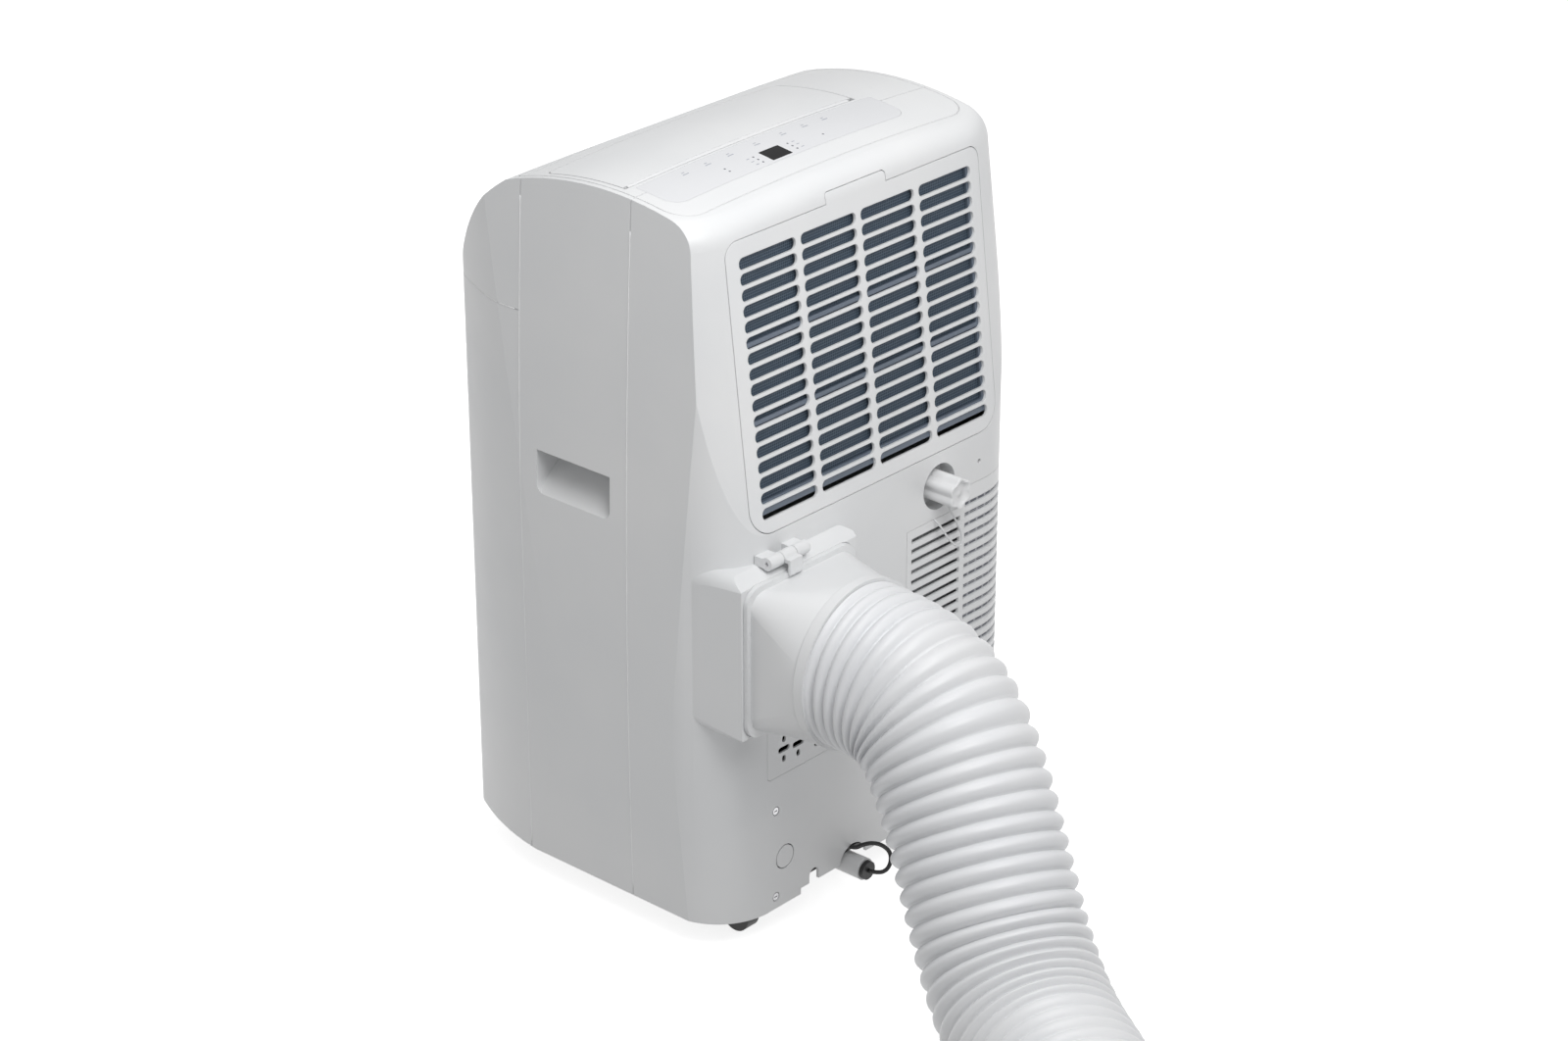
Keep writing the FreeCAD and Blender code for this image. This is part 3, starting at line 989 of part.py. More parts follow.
def insides(skin):
    # upper fan: drum and riser to the air duct
    y0, y1 = at(FAN_FRONT_DEPTH), at(FAN_REAR_DEPTH)
    solid = drum(0, FAN_Z, FAN_REAR_DEPTH, FAN_FRONT_DEPTH, FAN_R)
    hollow = rod(FAN_R - SHEET, y1 - y0 - 2 * SHEET, Vector(0, y0 + SHEET, FAN_Z))
    riser = box(-FAN_R + 4, FAN_R - 4, y0, y1, FAN_Z + 30, DUCT_FOOT_Z)
    bore = box(-FAN_R + 4 + SHEET, FAN_R - 4 - SHEET, y0 + SHEET, y1 - SHEET, FAN_Z + 30, DUCT_FOOT_Z + 1)
    lid = box(FLAP_X - DUCT_HALF, FLAP_X + DUCT_HALF, at(FLAP_FRONT_DEPTH), at(FLAP_REAR_DEPTH - 12.0),
              DUCT_FOOT_Z - SHEET, DUCT_FOOT_Z)
    housing = fused([solid, riser, lid]).cut(hollow).cut(bore)
    housing = housing.cut(rod(FAN_R - 30, 30, Vector(0, y1 - 10, FAN_Z))).cut(rod(16, 40, Vector(0, y0 - 10, FAN_Z)))
    save("upper_fan_housing", largest(housing.removeSplitter()))
    save("upper_blower", blower(0, FAN_Z, FAN_REAR_DEPTH + 6, FAN_FRONT_DEPTH - 8, FAN_R - 14))
    # lower fan: drum and rectangular duct to the exhaust outlet
    y0, y1 = at(LOW_FAN_FRONT_DEPTH), at(LOW_FAN_REAR_DEPTH)
    w, h = FLANGE_W - 22.4, FLANGE_H - 22.4
    end_y = REAR_Y + BOX_PROUD - 4.0
    solid = drum(LOW_FAN_X, LOW_FAN_Z, LOW_FAN_REAR_DEPTH, LOW_FAN_FRONT_DEPTH, LOW_FAN_R)
    throat = box(OUTLET_X - w / 2, OUTLET_X + w / 2, y0, end_y, OUTLET_Z - h / 2, OUTLET_Z + h / 2)
    way = prism(rounded(OUTLET_X, OUTLET_Z, w - 2 * SHEET, h - 2 * SHEET, FLANGE_R - 6 - SHEET, "xz"),
                Vector(0, y0 + SHEET, 0), end_y + 1 - y0 - SHEET, Y)
    hollow = rod(LOW_FAN_R - SHEET, y1 - y0 - 2 * SHEET, Vector(LOW_FAN_X, y0 + SHEET, LOW_FAN_Z))
    housing = fused([solid, throat]).cut(hollow).cut(way)
    housing = housing.cut(rod(LOW_FAN_R - 30, 30, Vector(LOW_FAN_X, y1 - 10, LOW_FAN_Z)))
    housing = housing.cut(rod(16, 40, Vector(LOW_FAN_X, y0 - 10, LOW_FAN_Z)))
    corners = prism(rounded(OUTLET_X, OUTLET_Z, w, h, FLANGE_R - 6, "xz"), Vector(0, at(60), 0), 160, Y)
    housing = housing.common(slab(60, 400)).fuse(housing.common(corners)).removeSplitter()
    save("lower_fan_housing", largest(housing))
    save("lower_blower", blower(LOW_FAN_X, LOW_FAN_Z, LOW_FAN_REAR_DEPTH + 6, LOW_FAN_FRONT_DEPTH - 8, LOW_FAN_R - 12))
    save("fan_motors", Part.makeCompound([fan_motor(0, FAN_Z, FAN_FRONT_DEPTH),
                                          fan_motor(LOW_FAN_X, LOW_FAN_Z, LOW_FAN_FRONT_DEPTH)]))
    # cooling circuit
    base = PAN_Z + PAN_T
    y = at(COMPRESSOR_DEPTH)
    can = rod(COMPRESSOR_R, COMPRESSOR_H, Vector(COMPRESSOR_X, y, base), Z)
    accumulator = rod(19.0, 90.0, Vector(COMPRESSOR_X + COMPRESSOR_R + 22, y - 30, base + 40), Z)
    save("compressor", Part.makeCompound([can, accumulator.fuse(
        box(COMPRESSOR_X + 40, COMPRESSOR_X + COMPRESSOR_R + 22, y - 34, y - 26, base + 60, base + 68)).cut(can)]))
    coil_y0, coil_y1 = at(COIL_DEPTH + COIL_T), at(COIL_DEPTH)
    save("evaporator_coil", box(-148, 148, coil_y0, coil_y1, TRAY_Z + 3, 630))
    save("condenser_coil", box(-176, 48, at(COIL_DEPTH - 4), at(22), LOW_COIL_FOOT, 330))
    suction = [Vector(COMPRESSOR_X - 30, y, base + COMPRESSOR_H), Vector(COMPRESSOR_X - 30, y, 470),
               Vector(COMPRESSOR_X - 30, coil_y0, 470)]
    hot = [Vector(COMPRESSOR_X - 6, y, base + COMPRESSOR_H), Vector(COMPRESSOR_X - 6, y, 300),
           Vector(COMPRESSOR_X - 6, at(COIL_DEPTH - 4), 300)]
    save("refrigerant_pipes", Part.makeCompound([tube(suction, PIPE_R, 0.0, 0.2), tube(hot, PIPE_R, 0.0, 0.3)]))
    tray = casing(WALL, 0.0).common(slab(34, 300, TRAY_Z, TRAY_Z + 3))
    tray = tray.cut(rod(PIPE_R + 1.0, 20, Vector(COMPRESSOR_X - 30, y, TRAY_Z - 5), Z))
    save("drip_tray", largest(tray))
    save("electrical_box", box(70, 160, at(310), at(250), TRAY_Z + 3, TRAY_Z + 150))
    vane_x = vane_places()[0]
    save("vane_motor", rod(12.0, 15.0, Vector(vane_x, at(FLAP_FRONT_DEPTH) - 15.0, VANE_Z)))


def main():
    os.makedirs("parts", exist_ok=True)
    outer = casing(0.0)
    skin = casing(WALL, 0.0)
    shell = outer.cut(skin).cut(panel_grooves(outer, casing(SEAM_DEPTH, 0.0)))
    sides = shell.cut(cover_region(0.0))
    front = sides.common(slab(FRONT_SEAM_DEPTH, DEPTH + 50))
    save("front_panel_lower", largest(front.common(box(-BIG, BIG, -BIG, BIG, -BIG, FRONT_SPLIT_Z))))
    save("front_panel_upper", largest(front.common(box(-BIG, BIG, -BIG, BIG, FRONT_SPLIT_Z, BIG))))
    right = largest(side_panel(sides, outer))
    save("side_panel_right", right)
    save("side_panel_left", mirrored(right))
    save("rear_shell", largest(rear_shell(shell, outer)))
    top_parts(shell, outer, skin)
    save("air_duct", air_duct())
    for i, x in enumerate(vane_places()):
        save(f"vane_{i + 1}", vane(x))
    filter_parts(grille_plate(outer, skin), skin)
    save("lower_grille", lower_grille(outer, skin))
    mesh = skin.cut(casing(WALL + MESH_T, 0.0)).common(lower_grille_region(-4.0))
    save("lower_mesh", largest(mesh.cut(rod(RECESS_R + 6.0, 60, Vector(CAP_X, REAR_Y - 40, CAP_Z)))))
    exhaust_parts()
    drain_parts()
    rear_details()
    undercarriage(skin)
    insides(skin)


if __name__ == "__main__":
    main()
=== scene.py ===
# %% [markdown]
# # A portable air conditioner, seen from behind
# The engineering model arrives as a fixed frame: every panel, pin and wheel is already in its
# place, in metres. Here it gets its looks: moulded plastic, a pleated duct, meshes, printed
# marks and rubber. Nothing in the frame is moved, so each new piece reads its place from it.

import math

import bmesh
import bpy
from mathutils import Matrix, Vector
from mathutils.bvhtree import BVHTree


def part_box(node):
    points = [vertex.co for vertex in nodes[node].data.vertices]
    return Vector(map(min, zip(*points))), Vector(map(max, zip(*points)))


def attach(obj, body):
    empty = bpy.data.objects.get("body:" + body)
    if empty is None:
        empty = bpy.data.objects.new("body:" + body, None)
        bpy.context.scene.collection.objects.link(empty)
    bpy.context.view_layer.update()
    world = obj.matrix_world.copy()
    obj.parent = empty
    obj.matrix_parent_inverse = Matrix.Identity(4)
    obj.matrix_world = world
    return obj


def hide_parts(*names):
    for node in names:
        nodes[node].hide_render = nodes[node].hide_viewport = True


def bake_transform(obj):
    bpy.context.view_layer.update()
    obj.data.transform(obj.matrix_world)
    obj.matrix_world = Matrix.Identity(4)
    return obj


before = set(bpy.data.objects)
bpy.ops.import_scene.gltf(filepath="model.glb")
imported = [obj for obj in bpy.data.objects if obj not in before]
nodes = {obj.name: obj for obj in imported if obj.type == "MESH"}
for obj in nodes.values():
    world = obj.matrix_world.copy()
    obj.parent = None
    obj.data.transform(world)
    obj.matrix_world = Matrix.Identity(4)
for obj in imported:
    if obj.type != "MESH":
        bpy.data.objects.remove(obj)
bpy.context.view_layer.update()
MM = 0.001

# %% [markdown]
# ## The camera
# A long lens from behind, to the outlet's side and above, so that the top, the shaded side and
# the rear all show. The lens is long enough for upright edges to stay nearly parallel.

# %% Camera
CAMERA_PLACE = Vector((2.3619, 2.1241, 1.8325))
VIEW_DIRECTION = Vector((-0.6748, -0.6006, -0.4289))
camera = bpy.data.objects.new("camera", bpy.data.cameras.new("camera"))
camera.data.lens = 88.6
camera.data.sensor_width = 36.0
camera.data.clip_start = 0.05
camera.location = CAMERA_PLACE
camera.rotation_euler = VIEW_DIRECTION.to_track_quat("-Z", "Y").to_euler()
bpy.context.scene.collection.objects.link(camera)
bpy.context.scene.camera = camera
print("camera at", list(camera.location))

# %% [markdown]
# ## Building pieces
# Most new pieces here are rings of points joined by quads, like a lathe or a loft does. One
# helper makes such a skin, and another gives points along a smooth route: a NURBS curve with
# no thickness is turned into a mesh, and its points are read back.

# %% Skins from rings, and smooth routes


def add_object(name, data):
    piece = bpy.data.objects.new(name, data)
    bpy.context.scene.collection.objects.link(piece)
    return piece


def skin_from_rings(name, rings, cap_start=False, cap_end=False):
    """Joins rings of points, all of one count, into a closed-round skin with smooth shading."""
    bm = bmesh.new()
    loops = [[bm.verts.new(p) for p in ring] for ring in rings]
    for lower, upper in zip(loops, loops[1:]):
        for i in range(len(lower)):
            j = (i + 1) % len(lower)
            bm.faces.new((lower[i], lower[j], upper[j], upper[i]))
    if cap_start:
        bm.faces.new(list(reversed(loops[0])))
    if cap_end:
        bm.faces.new(loops[-1])
    bmesh.ops.recalc_face_normals(bm, faces=bm.faces)
    data = bpy.data.meshes.new(name)
    bm.to_mesh(data)
    bm.free()
    for face in data.polygons:
        face.use_smooth = True
    return add_object(name, data)


def read_route(points):
    """Points along a smooth NURBS curve whose control points are the route's points."""
    data = bpy.data.curves.new("route_guide", "CURVE")
    data.dimensions = "3D"
    spline = data.splines.new("NURBS")
    spline.points.add(len(points) - 1)
    for control, place in zip(spline.points, points):
        control.co = (*place, 1.0)
    spline.order_u = 3
    spline.use_endpoint_u = True
    spline.resolution_u = 24
    guide = add_object("route_guide", data)
    mesh = bpy.data.meshes.new_from_object(guide)
    line = [v.co.copy() for v in mesh.vertices]
    bpy.data.objects.remove(guide)
    return line


def length_of(line):
    return sum((b - a).length for a, b in zip(line, line[1:]))


PLANE_Y = 0.135  # the flat rear face, from which the routes are set out


def behind(points):
    """Route points in millimetres, counted out from the flat rear face, as places in the frame."""
    return [Vector((x * MM, PLANE_Y + y * MM, z * MM)) for x, y, z in points]


# %% [markdown]
# ## The exhaust duct
# The duct is a thin plastic hose with pleats over a wire coil, so it stretches and bends. It
# leaves the collar straight, drops, and runs out along the floor. Pleats are part of its shape:
# over each pitch the radius falls from a broad round ridge into a narrow valley, as a low
# power of a cosine does. On the inside of the bend they crowd together by
# themselves, because every ring stands square to the line. Near the collar and beyond the
# stretch that is pulled out, the pleats are pushed together.

# %% Duct route and pleats
DUCT_ROUTE = behind([
    (128, 90, 304), (128, 140, 304), (131.5, 182, 280), (145, 222, 230), (163, 258, 178),
    (187, 304, 116), (216, 356, 84), (252, 418, 78.5), (296, 486, 78), (338, 560, 78), (372, 632, 78),
])
DUCT_RADIUS = 75 * MM
PLEAT_DEPTH = 6.5 * MM
NECK_PITCH = 12 * MM
NECK_LENGTH = 0.09
OPEN_PITCH = 17 * MM
SHUT_PITCH = 9 * MM
OPEN_LENGTH = 0.60
RIDGE_ROUNDING = 0.75
STEPS_PER_PLEAT = 12
DUCT_SIDES = 96

duct_line = read_route(DUCT_ROUTE)


def resample(line, distances):
    """Points and directions at the given distances along a line."""
    found, travelled, i = [], 0.0, 0
    for d in distances:
        while i < len(line) - 2 and travelled + (line[i + 1] - line[i]).length < d:
            travelled += (line[i + 1] - line[i]).length
            i += 1
        leg = line[i + 1] - line[i]
        found.append((line[i] + leg * min(1.0, (d - travelled) / leg.length), leg.normalized()))
    return found


def pleat_stops(total):
    """Distances along the duct where each pleat starts."""
    stops = [0.0]
    while stops[-1] < total - SHUT_PITCH:
        pitch = OPEN_PITCH if stops[-1] < OPEN_LENGTH else SHUT_PITCH
        if stops[-1] < NECK_LENGTH:
            pitch = NECK_PITCH
        stops.append(stops[-1] + pitch)
    stops[-1] = total
    return stops


def duct_rings(line):
    total = length_of(line)
    stops = pleat_stops(total)
    marks = []
    for a, b in zip(stops, stops[1:]):
        marks += [(a + (b - a) * k / STEPS_PER_PLEAT, k / STEPS_PER_PLEAT) for k in range(STEPS_PER_PLEAT)]
    marks.append((total, 0.0))
    side = Vector((1, 0, 0))
    rings = []
    for (place, direction), (_, phase) in zip(resample(line, [m[0] for m in marks]), marks):
        side = (side - direction * side.dot(direction)).normalized()
        up = direction.cross(side)
        swell = abs(math.cos(math.pi * phase)) ** RIDGE_ROUNDING
        r = DUCT_RADIUS - PLEAT_DEPTH * (1.0 - swell)
        rings.append([place + (side * math.cos(a) + up * math.sin(a)) * r
                      for a in (2 * math.pi * i / DUCT_SIDES for i in range(DUCT_SIDES))])
    return rings


rings = duct_rings(duct_line)
duct = skin_from_rings("duct_pleats", rings)
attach(duct, "cabinet")
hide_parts("exhaust_hose")
print("duct line", round(length_of(duct_line), 3), "m,", len(rings) // STEPS_PER_PLEAT, "pleats")

# %% [markdown]
# ## Two short rubber cords
# A thin strap keeps the drain cap from getting lost, and a thicker black one holds the lower
# drain's plug. Each is a curve with a round section, laid along a fixed route between the
# cabinet and the piece it is tied to.

# %% Tether and strap
TETHER_ROUTE = behind([
    (-75, 1.6, 341.6), (-75.6, 6.5, 339.1), (-84, 10.5, 322.6), (-95, 11, 311.1), (-104, 10.5, 308.6),
    (-105.5, 9.5, 318.6), (-100, 8, 331.6), (-94.5, 6.5, 342.1), (-91.5, 6, 347.5), (-90.3, 4.8, 352.5),
    (-89.5, -4.5, 353.4), (-88.9, -10.6, 354.6), (-87.25, -11.1, 360.7),
])
STRAP_ROUTE = behind([
    (36, 0.8, 50), (35.8, 6.5, 50.5), (32.5, 12, 55), (26, 18, 56.5), (19, 24, 53.5),
    (14.5, 30, 46.5), (18, 34, 39), (26, 35.5, 34), (33.5, 31.5, 33), (36, 23, 33),
])


def round_tube(name, line, radius, sides=20):
    """A round tube of rings that stand square to the line."""
    rings, side = [], Vector((0.3, 0.9, 0.3))
    for i, place in enumerate(line):
        direction = (line[min(i + 1, len(line) - 1)] - line[max(i - 1, 0)]).normalized()
        side = (side - direction * side.dot(direction)).normalized()
        up = direction.cross(side)
        rings.append([place + (side * math.cos(a) + up * math.sin(a)) * radius
                      for a in (2 * math.pi * k / sides for k in range(sides))])
    return skin_from_rings(name, rings, cap_start=True, cap_end=True)


def tied_cord(name, route, radius, node):
    line = read_route(route)
    cord = round_tube(name, line, radius)
    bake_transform(cord)
    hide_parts(node)
    return cord


tether = tied_cord("cap_tether_cord", TETHER_ROUTE, 1.0 * MM, "cap_tether")
strap = tied_cord("plug_strap_cord", STRAP_ROUTE, 2.0 * MM, "plug_strap")

# %% [markdown]
# ## The drain cap
# The cap is a hand-turned knob with six soft lobes and a dished face. Its outline is a circle
# whose radius swells six times, lofted along the knob's axis with rounded rims, then a shallow
# dish with a small pip in the middle. A plain cylinder would miss the grip.

# %% Lobed cap
cap_low, cap_high = [Vector(c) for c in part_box("drain_cap")]
cap_centre = (cap_low + cap_high) / 2
CAP_LOBES = 6
CAP_SIDES = 96
CAP_OUT = 15.5 * MM
CAP_WAIST = 12.6 * MM


def cap_ring(y, scale, lobing=1.0):
    ring = []
    for i in range(CAP_SIDES):
        a = 2 * math.pi * i / CAP_SIDES
        swell = 0.5 + 0.5 * math.cos(CAP_LOBES * (a - math.pi / 6))
        r = scale * (CAP_OUT - (CAP_OUT - CAP_WAIST) * (1 - swell ** 0.75) * lobing)
        ring.append(Vector((cap_centre.x + r * math.cos(a), y, cap_centre.z + r * math.sin(a))))
    return ring


y0, y1 = cap_low.y, cap_high.y
cap_profile = [
    (y0 + 12 * MM, 0.60, 0.0), (y0, 0.62, 0.0), (y0, 0.93, 1.0),
    (y0 + 0.6 * MM, 0.99, 1.0), (y0 + 1.6 * MM, 1.0, 1.0),
    (y1 - 2.0 * MM, 1.0, 1.0), (y1 - 0.9 * MM, 0.985, 1.0), (y1 - 0.2 * MM, 0.94, 1.0), (y1, 0.88, 1.0),
    (y1 - 0.5 * MM, 0.80, 0.8), (y1 - 2.6 * MM, 0.70, 0.5),
    (y1 - 3.4 * MM, 0.52, 0.2), (y1 - 3.6 * MM, 0.22, 0.0),
    (y1 - 2.8 * MM, 0.16, 0.0), (y1 - 2.6 * MM, 0.05, 0.0),
]
cap = skin_from_rings("lobed_cap", [cap_ring(*p) for p in cap_profile], cap_start=True, cap_end=True)
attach(cap, "cap")
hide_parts("drain_cap")
print("cap from", round(y0, 4), "to", round(y1, 4))

# %% [markdown]
# ## Marks on the control panel
# Under the clear film are small grey signs and rows of indicator dots on both sides of the
# display. They are thin discs and bars dropped onto the curved top: a ray from above finds the
# film, so each mark sits on it, a tenth of a millimetre proud.

# %% Signs and dots


def surface_of(node):
    mesh = nodes[node].data
    return BVHTree.FromPolygons([v.co for v in mesh.vertices], [p.vertices for p in mesh.polygons])


film_surface = surface_of("control_film")
MARK_PROUD = 0.12 * MM


def on_film(x, y):
    hit, normal, _, _ = film_surface.ray_cast(Vector((x, y, 1.0)), Vector((0, 0, -1)))
    return (hit, normal) if hit else (None, None)


def add_mark(bm, x, y, outline):
    """A thin flat shape on the film, from its outline around (x, y)."""
    loop = []
    for dx, dy in outline:
        hit, _ = on_film(x + dx, y + dy)
        if hit is None:
            return
        loop.append(hit)
    low = [bm.verts.new(p - Vector((0, 0, MARK_PROUD))) for p in loop]
    top = [bm.verts.new(p + Vector((0, 0, MARK_PROUD))) for p in loop]
    bm.faces.new(top)
    bm.faces.new(list(reversed(low)))
    for i in range(len(loop)):
        j = (i + 1) % len(loop)
        bm.faces.new((low[i], low[j], top[j], top[i]))


def disc(r, sides=14):
    turns = [2 * math.pi * i / sides for i in range(sides)]
    return [(r * math.cos(a), r * math.sin(a)) for a in turns]


def bar(w, h):
    return [(-w / 2, -h / 2), (w / 2, -h / 2), (w / 2, h / 2), (-w / 2, h / 2)]


display_low, display_high = [Vector(c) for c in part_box("display_window")]
display = (display_low + display_high) / 2


def marks_piece(name, places):
    bm = bmesh.new()
    for dx, dy, outline in places:
        add_mark(bm, display.x + dx * MM, display.y + dy * MM, outline)
    bmesh.ops.recalc_face_normals(bm, faces=bm.faces)
    data = bpy.data.meshes.new(name)
    bm.to_mesh(data)
    bm.free()
    piece = add_object(name, data)
    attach(piece, "cabinet")
    print(name, len(data.polygons), "faces")
    return piece


dot = disc(1.0 * MM)
lamp_places = [(side * 22, 5.7 * k, dot) for side in (1, -1) for k in (-1, 0, 1)]
lamp_places += [(58, 5.7 * k, dot) for k in (-1, 0)] + [(-62, 0, dot)]
lamps = marks_piece("panel_lamps", lamp_places)

key_sign = bar(7 * MM, 1.2 * MM)
small_sign = bar(3.4 * MM, 1.0 * MM)
KEYS_X = (-88, -62, -34, 0, 34, 62, 90)
sign_places = [(x, -21, key_sign) for x in KEYS_X] + [(x, -24.5, small_sign) for x in KEYS_X]
sign_places += [(side * 29, 5.7 * k, small_sign) for side in (1, -1) for k in (-1, 0, 1)]
signs = marks_piece("panel_signs", sign_places)

# %% [markdown]
# ## Painted highlights along the seams
# Where two panels meet, each has a rounded edge that catches the light, so a seam reads as a
# thin bright line. That line is a painted highlight: a fine bead, whiter than the cabinet, is laid in
# each seam. Rays from outside find the panels on both sides of it, and the bead follows the mean of the two.

# %% Seam beads, a painted highlight
BEAD_RADIUS = 0.55 * MM
SIDE_BEAD_SUNK = 0.17 * MM
SPLIT_BEAD_SUNK = 0.22 * MM
BESIDE_SEAM = 1.6 * MM
SPLIT_Z = 0.563
SEAM_PLACES = (PLANE_Y - 0.242, PLANE_Y - 0.112)
panels = [surface_of(n) for n in ("side_panel_right", "side_panel_left", "front_panel_lower",
                                  "front_panel_upper", "rear_shell")]


def touch(start, direction):
    """The first panel met from outside, or None."""
    hits = [tree.ray_cast(start, direction) for tree in panels]
    near = [(distance, place) for place, _, _, distance in hits if place is not None]
    return min(near)[1] if near else None


def middle_of_seam(start, direction, across, sunk):
    """The point between the panels on both sides of a seam, or None past their ends."""
    pair = [touch(start + across * side, direction) for side in (-BESIDE_SEAM, BESIDE_SEAM)]
    return None if None in pair else (pair[0] + pair[1]) / 2 + direction * sunk


# each seam bead carries the painted highlight of the light caught on the rounded panel edges
highlight_beads = []
STEPS_UP = [0.036 + 0.008 * k for k in range(80)]
for y in SEAM_PLACES:
    for side in (1, -1):
        inward = Vector((-side, 0, 0))
        found = [middle_of_seam(Vector((side * 0.4, y, z)), inward, Vector((0, 1, 0)), SIDE_BEAD_SUNK)
                 for z in STEPS_UP]
        line = [place for place in found if place]
        highlight_beads.append(round_tube("seam_highlight_bead_%d" % len(highlight_beads), line, BEAD_RADIUS, 10))

# the split crosses the front, so its rays start on a wide arc and point at the middle
line = []
for k in range(94):
    a = math.pi + math.radians(20 + 1.5 * k)
    start = Vector((0.6 * math.cos(a), 0.6 * math.sin(a), SPLIT_Z))
    inward = Vector((-start.x, -0.05 - start.y, 0)).normalized()
    place = middle_of_seam(start, inward, Vector((0, 0, 1)), SPLIT_BEAD_SUNK)
    if place and place.y < SEAM_PLACES[0]:
        line.append(place)
highlight_beads.append(round_tube("split_highlight_bead", line, BEAD_RADIUS, 10))
for piece in highlight_beads:
    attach(piece, "cabinet")
print("beads", [len(p.data.vertices) for p in highlight_beads])

# %% [markdown]
# ## Finishes
# Every finish starts from the same recipe: a principled shader whose colour drifts a little,
# whose gloss is uneven, and whose surface has the fine grain of a spark-eroded mould. A bevel
# in the normal softens the model's sharp edges the way a mould does, without touching a mesh.

# %% A helper for shader trees


class Tree:
    """Short names for adding and joining shader nodes."""

    def __init__(self, name):
        self.material = bpy.data.materials.new(name)
        self.material.use_nodes = True
        self.nodes = self.material.node_tree.nodes
        self.links = self.material.node_tree.links
        self.shader = self.nodes["Principled BSDF"]
        self.coords = self.nodes.new("ShaderNodeTexCoord").outputs["Object"]

    def join(self, a, b):
        self.links.new(a, b)

    def noise(self, scale, detail=3.0):
        node = self.nodes.new("ShaderNodeTexNoise")
        node.inputs["Scale"].default_value = scale
        node.inputs["Detail"].default_value = detail
        self.join(self.coords, node.inputs["Vector"])
        return node.outputs["Fac"]

    def ramp(self, value, low, high, start=0.35, end=0.65):
        node = self.nodes.new("ShaderNodeValToRGB")
        node.color_ramp.elements[0].position = start
        node.color_ramp.elements[1].position = end
        node.color_ramp.elements[0].color = (*low, 1)
        node.color_ramp.elements[1].color = (*high, 1)
        self.join(value, node.inputs["Fac"])
        return node.outputs["Color"]

    def spread(self, value, low, high):
        node = self.nodes.new("ShaderNodeMapRange")
        node.inputs["To Min"].default_value = low
        node.inputs["To Max"].default_value = high
        self.join(value, node.inputs["Value"])
        return node.outputs["Result"]

    def bump(self, height, strength, distance, base=None):
        node = self.nodes.new("ShaderNodeBump")
        node.inputs["Strength"].default_value = strength
        node.inputs["Distance"].default_value = distance
        self.join(height, node.inputs["Height"])
        if base is not None:
            self.join(base, node.inputs["Normal"])
        return node.outputs["Normal"]

    def soft_edges(self, radius):
        node = self.nodes.new("ShaderNodeBevel")
        node.samples = 6
        node.inputs["Radius"].default_value = radius
        return node.outputs["Normal"]


def plastic(name, low, high, gloss=(0.30, 0.42), grain=0.12, edge=0.8 * MM, coat=0.0):
    t = Tree(name)
    t.join(t.ramp(t.noise(6.0), low, high), t.shader.inputs["Base Color"])
    t.join(t.spread(t.noise(45.0), *gloss), t.shader.inputs["Roughness"])
    t.shader.inputs["Coat Weight"].default_value = coat
    normal = t.soft_edges(edge) if edge else None
    t.join(t.bump(t.noise(2600.0, 2.0), grain, 0.02 * MM, normal), t.shader.inputs["Normal"])
    return t.material


# %% Plastics, rubber and metals
cabinet_white = plastic("cabinet_white", (0.78, 0.79, 0.80), (0.82, 0.825, 0.83))
# the seam beads are whiter than the cabinet plastic: a painted highlight for light caught on rounded panel
# edges
seam_highlight_white = plastic("seam_highlight_white", (0.90, 0.905, 0.91), (0.93, 0.935, 0.94), gloss=(0.2, 0.3), edge=None)
grille_white = plastic("grille_white", (0.80, 0.81, 0.82), (0.84, 0.845, 0.85), edge=1.2 * MM)
duct_white = plastic("duct_white", (0.76, 0.77, 0.79), (0.81, 0.815, 0.825),
                     gloss=(0.34, 0.46), grain=0.25, edge=None)
film_white = plastic("film_white", (0.75, 0.757, 0.775), (0.77, 0.777, 0.795),
                     gloss=(0.12, 0.18), grain=0.02, edge=0.3 * MM)
lamp_grey = plastic("lamp_grey", (0.14, 0.15, 0.17), (0.18, 0.19, 0.21), gloss=(0.2, 0.3), edge=None)
sign_grey = plastic("sign_grey", (0.42, 0.44, 0.49), (0.47, 0.49, 0.53), gloss=(0.2, 0.3), edge=None)
display_black = plastic("display_black", (0.002, 0.002, 0.003), (0.004, 0.004, 0.005),
                        gloss=(0.16, 0.22), grain=0.02, edge=0.2 * MM)
inner_grey = plastic("inner_grey", (0.42, 0.44, 0.46), (0.48, 0.50, 0.52), gloss=(0.5, 0.65))
frame_blue_grey = plastic("frame_blue_grey", (0.11, 0.14, 0.18), (0.14, 0.17, 0.22), gloss=(0.35, 0.5))
caster_black = plastic("caster_black", (0.010, 0.010, 0.010), (0.022, 0.022, 0.022), gloss=(0.35, 0.5))
rubber_black = plastic("rubber_black", (0.012, 0.012, 0.013), (0.024, 0.024, 0.025),
                       gloss=(0.42, 0.6), grain=0.4)
tether_clear = plastic("tether_clear", (0.70, 0.71, 0.73), (0.76, 0.77, 0.78), gloss=(0.25, 0.35), edge=None)
board_green = plastic("board_green", (0.02, 0.14, 0.06), (0.03, 0.20, 0.08), gloss=(0.3, 0.4))
enamel_black = plastic("enamel_black", (0.012, 0.012, 0.012), (0.03, 0.03, 0.03), gloss=(0.25, 0.4))


def metal(name, low, high, gloss):
    t = Tree(name)
    t.join(t.ramp(t.noise(20.0), low, high), t.shader.inputs["Base Color"])
    t.join(t.spread(t.noise(300.0), *gloss), t.shader.inputs["Roughness"])
    t.shader.inputs["Metallic"].default_value = 1.0
    return t.material


steel = metal("steel", (0.50, 0.50, 0.51), (0.62, 0.62, 0.63), (0.25, 0.4))
copper = metal("copper", (0.70, 0.36, 0.22), (0.80, 0.44, 0.28), (0.25, 0.4))

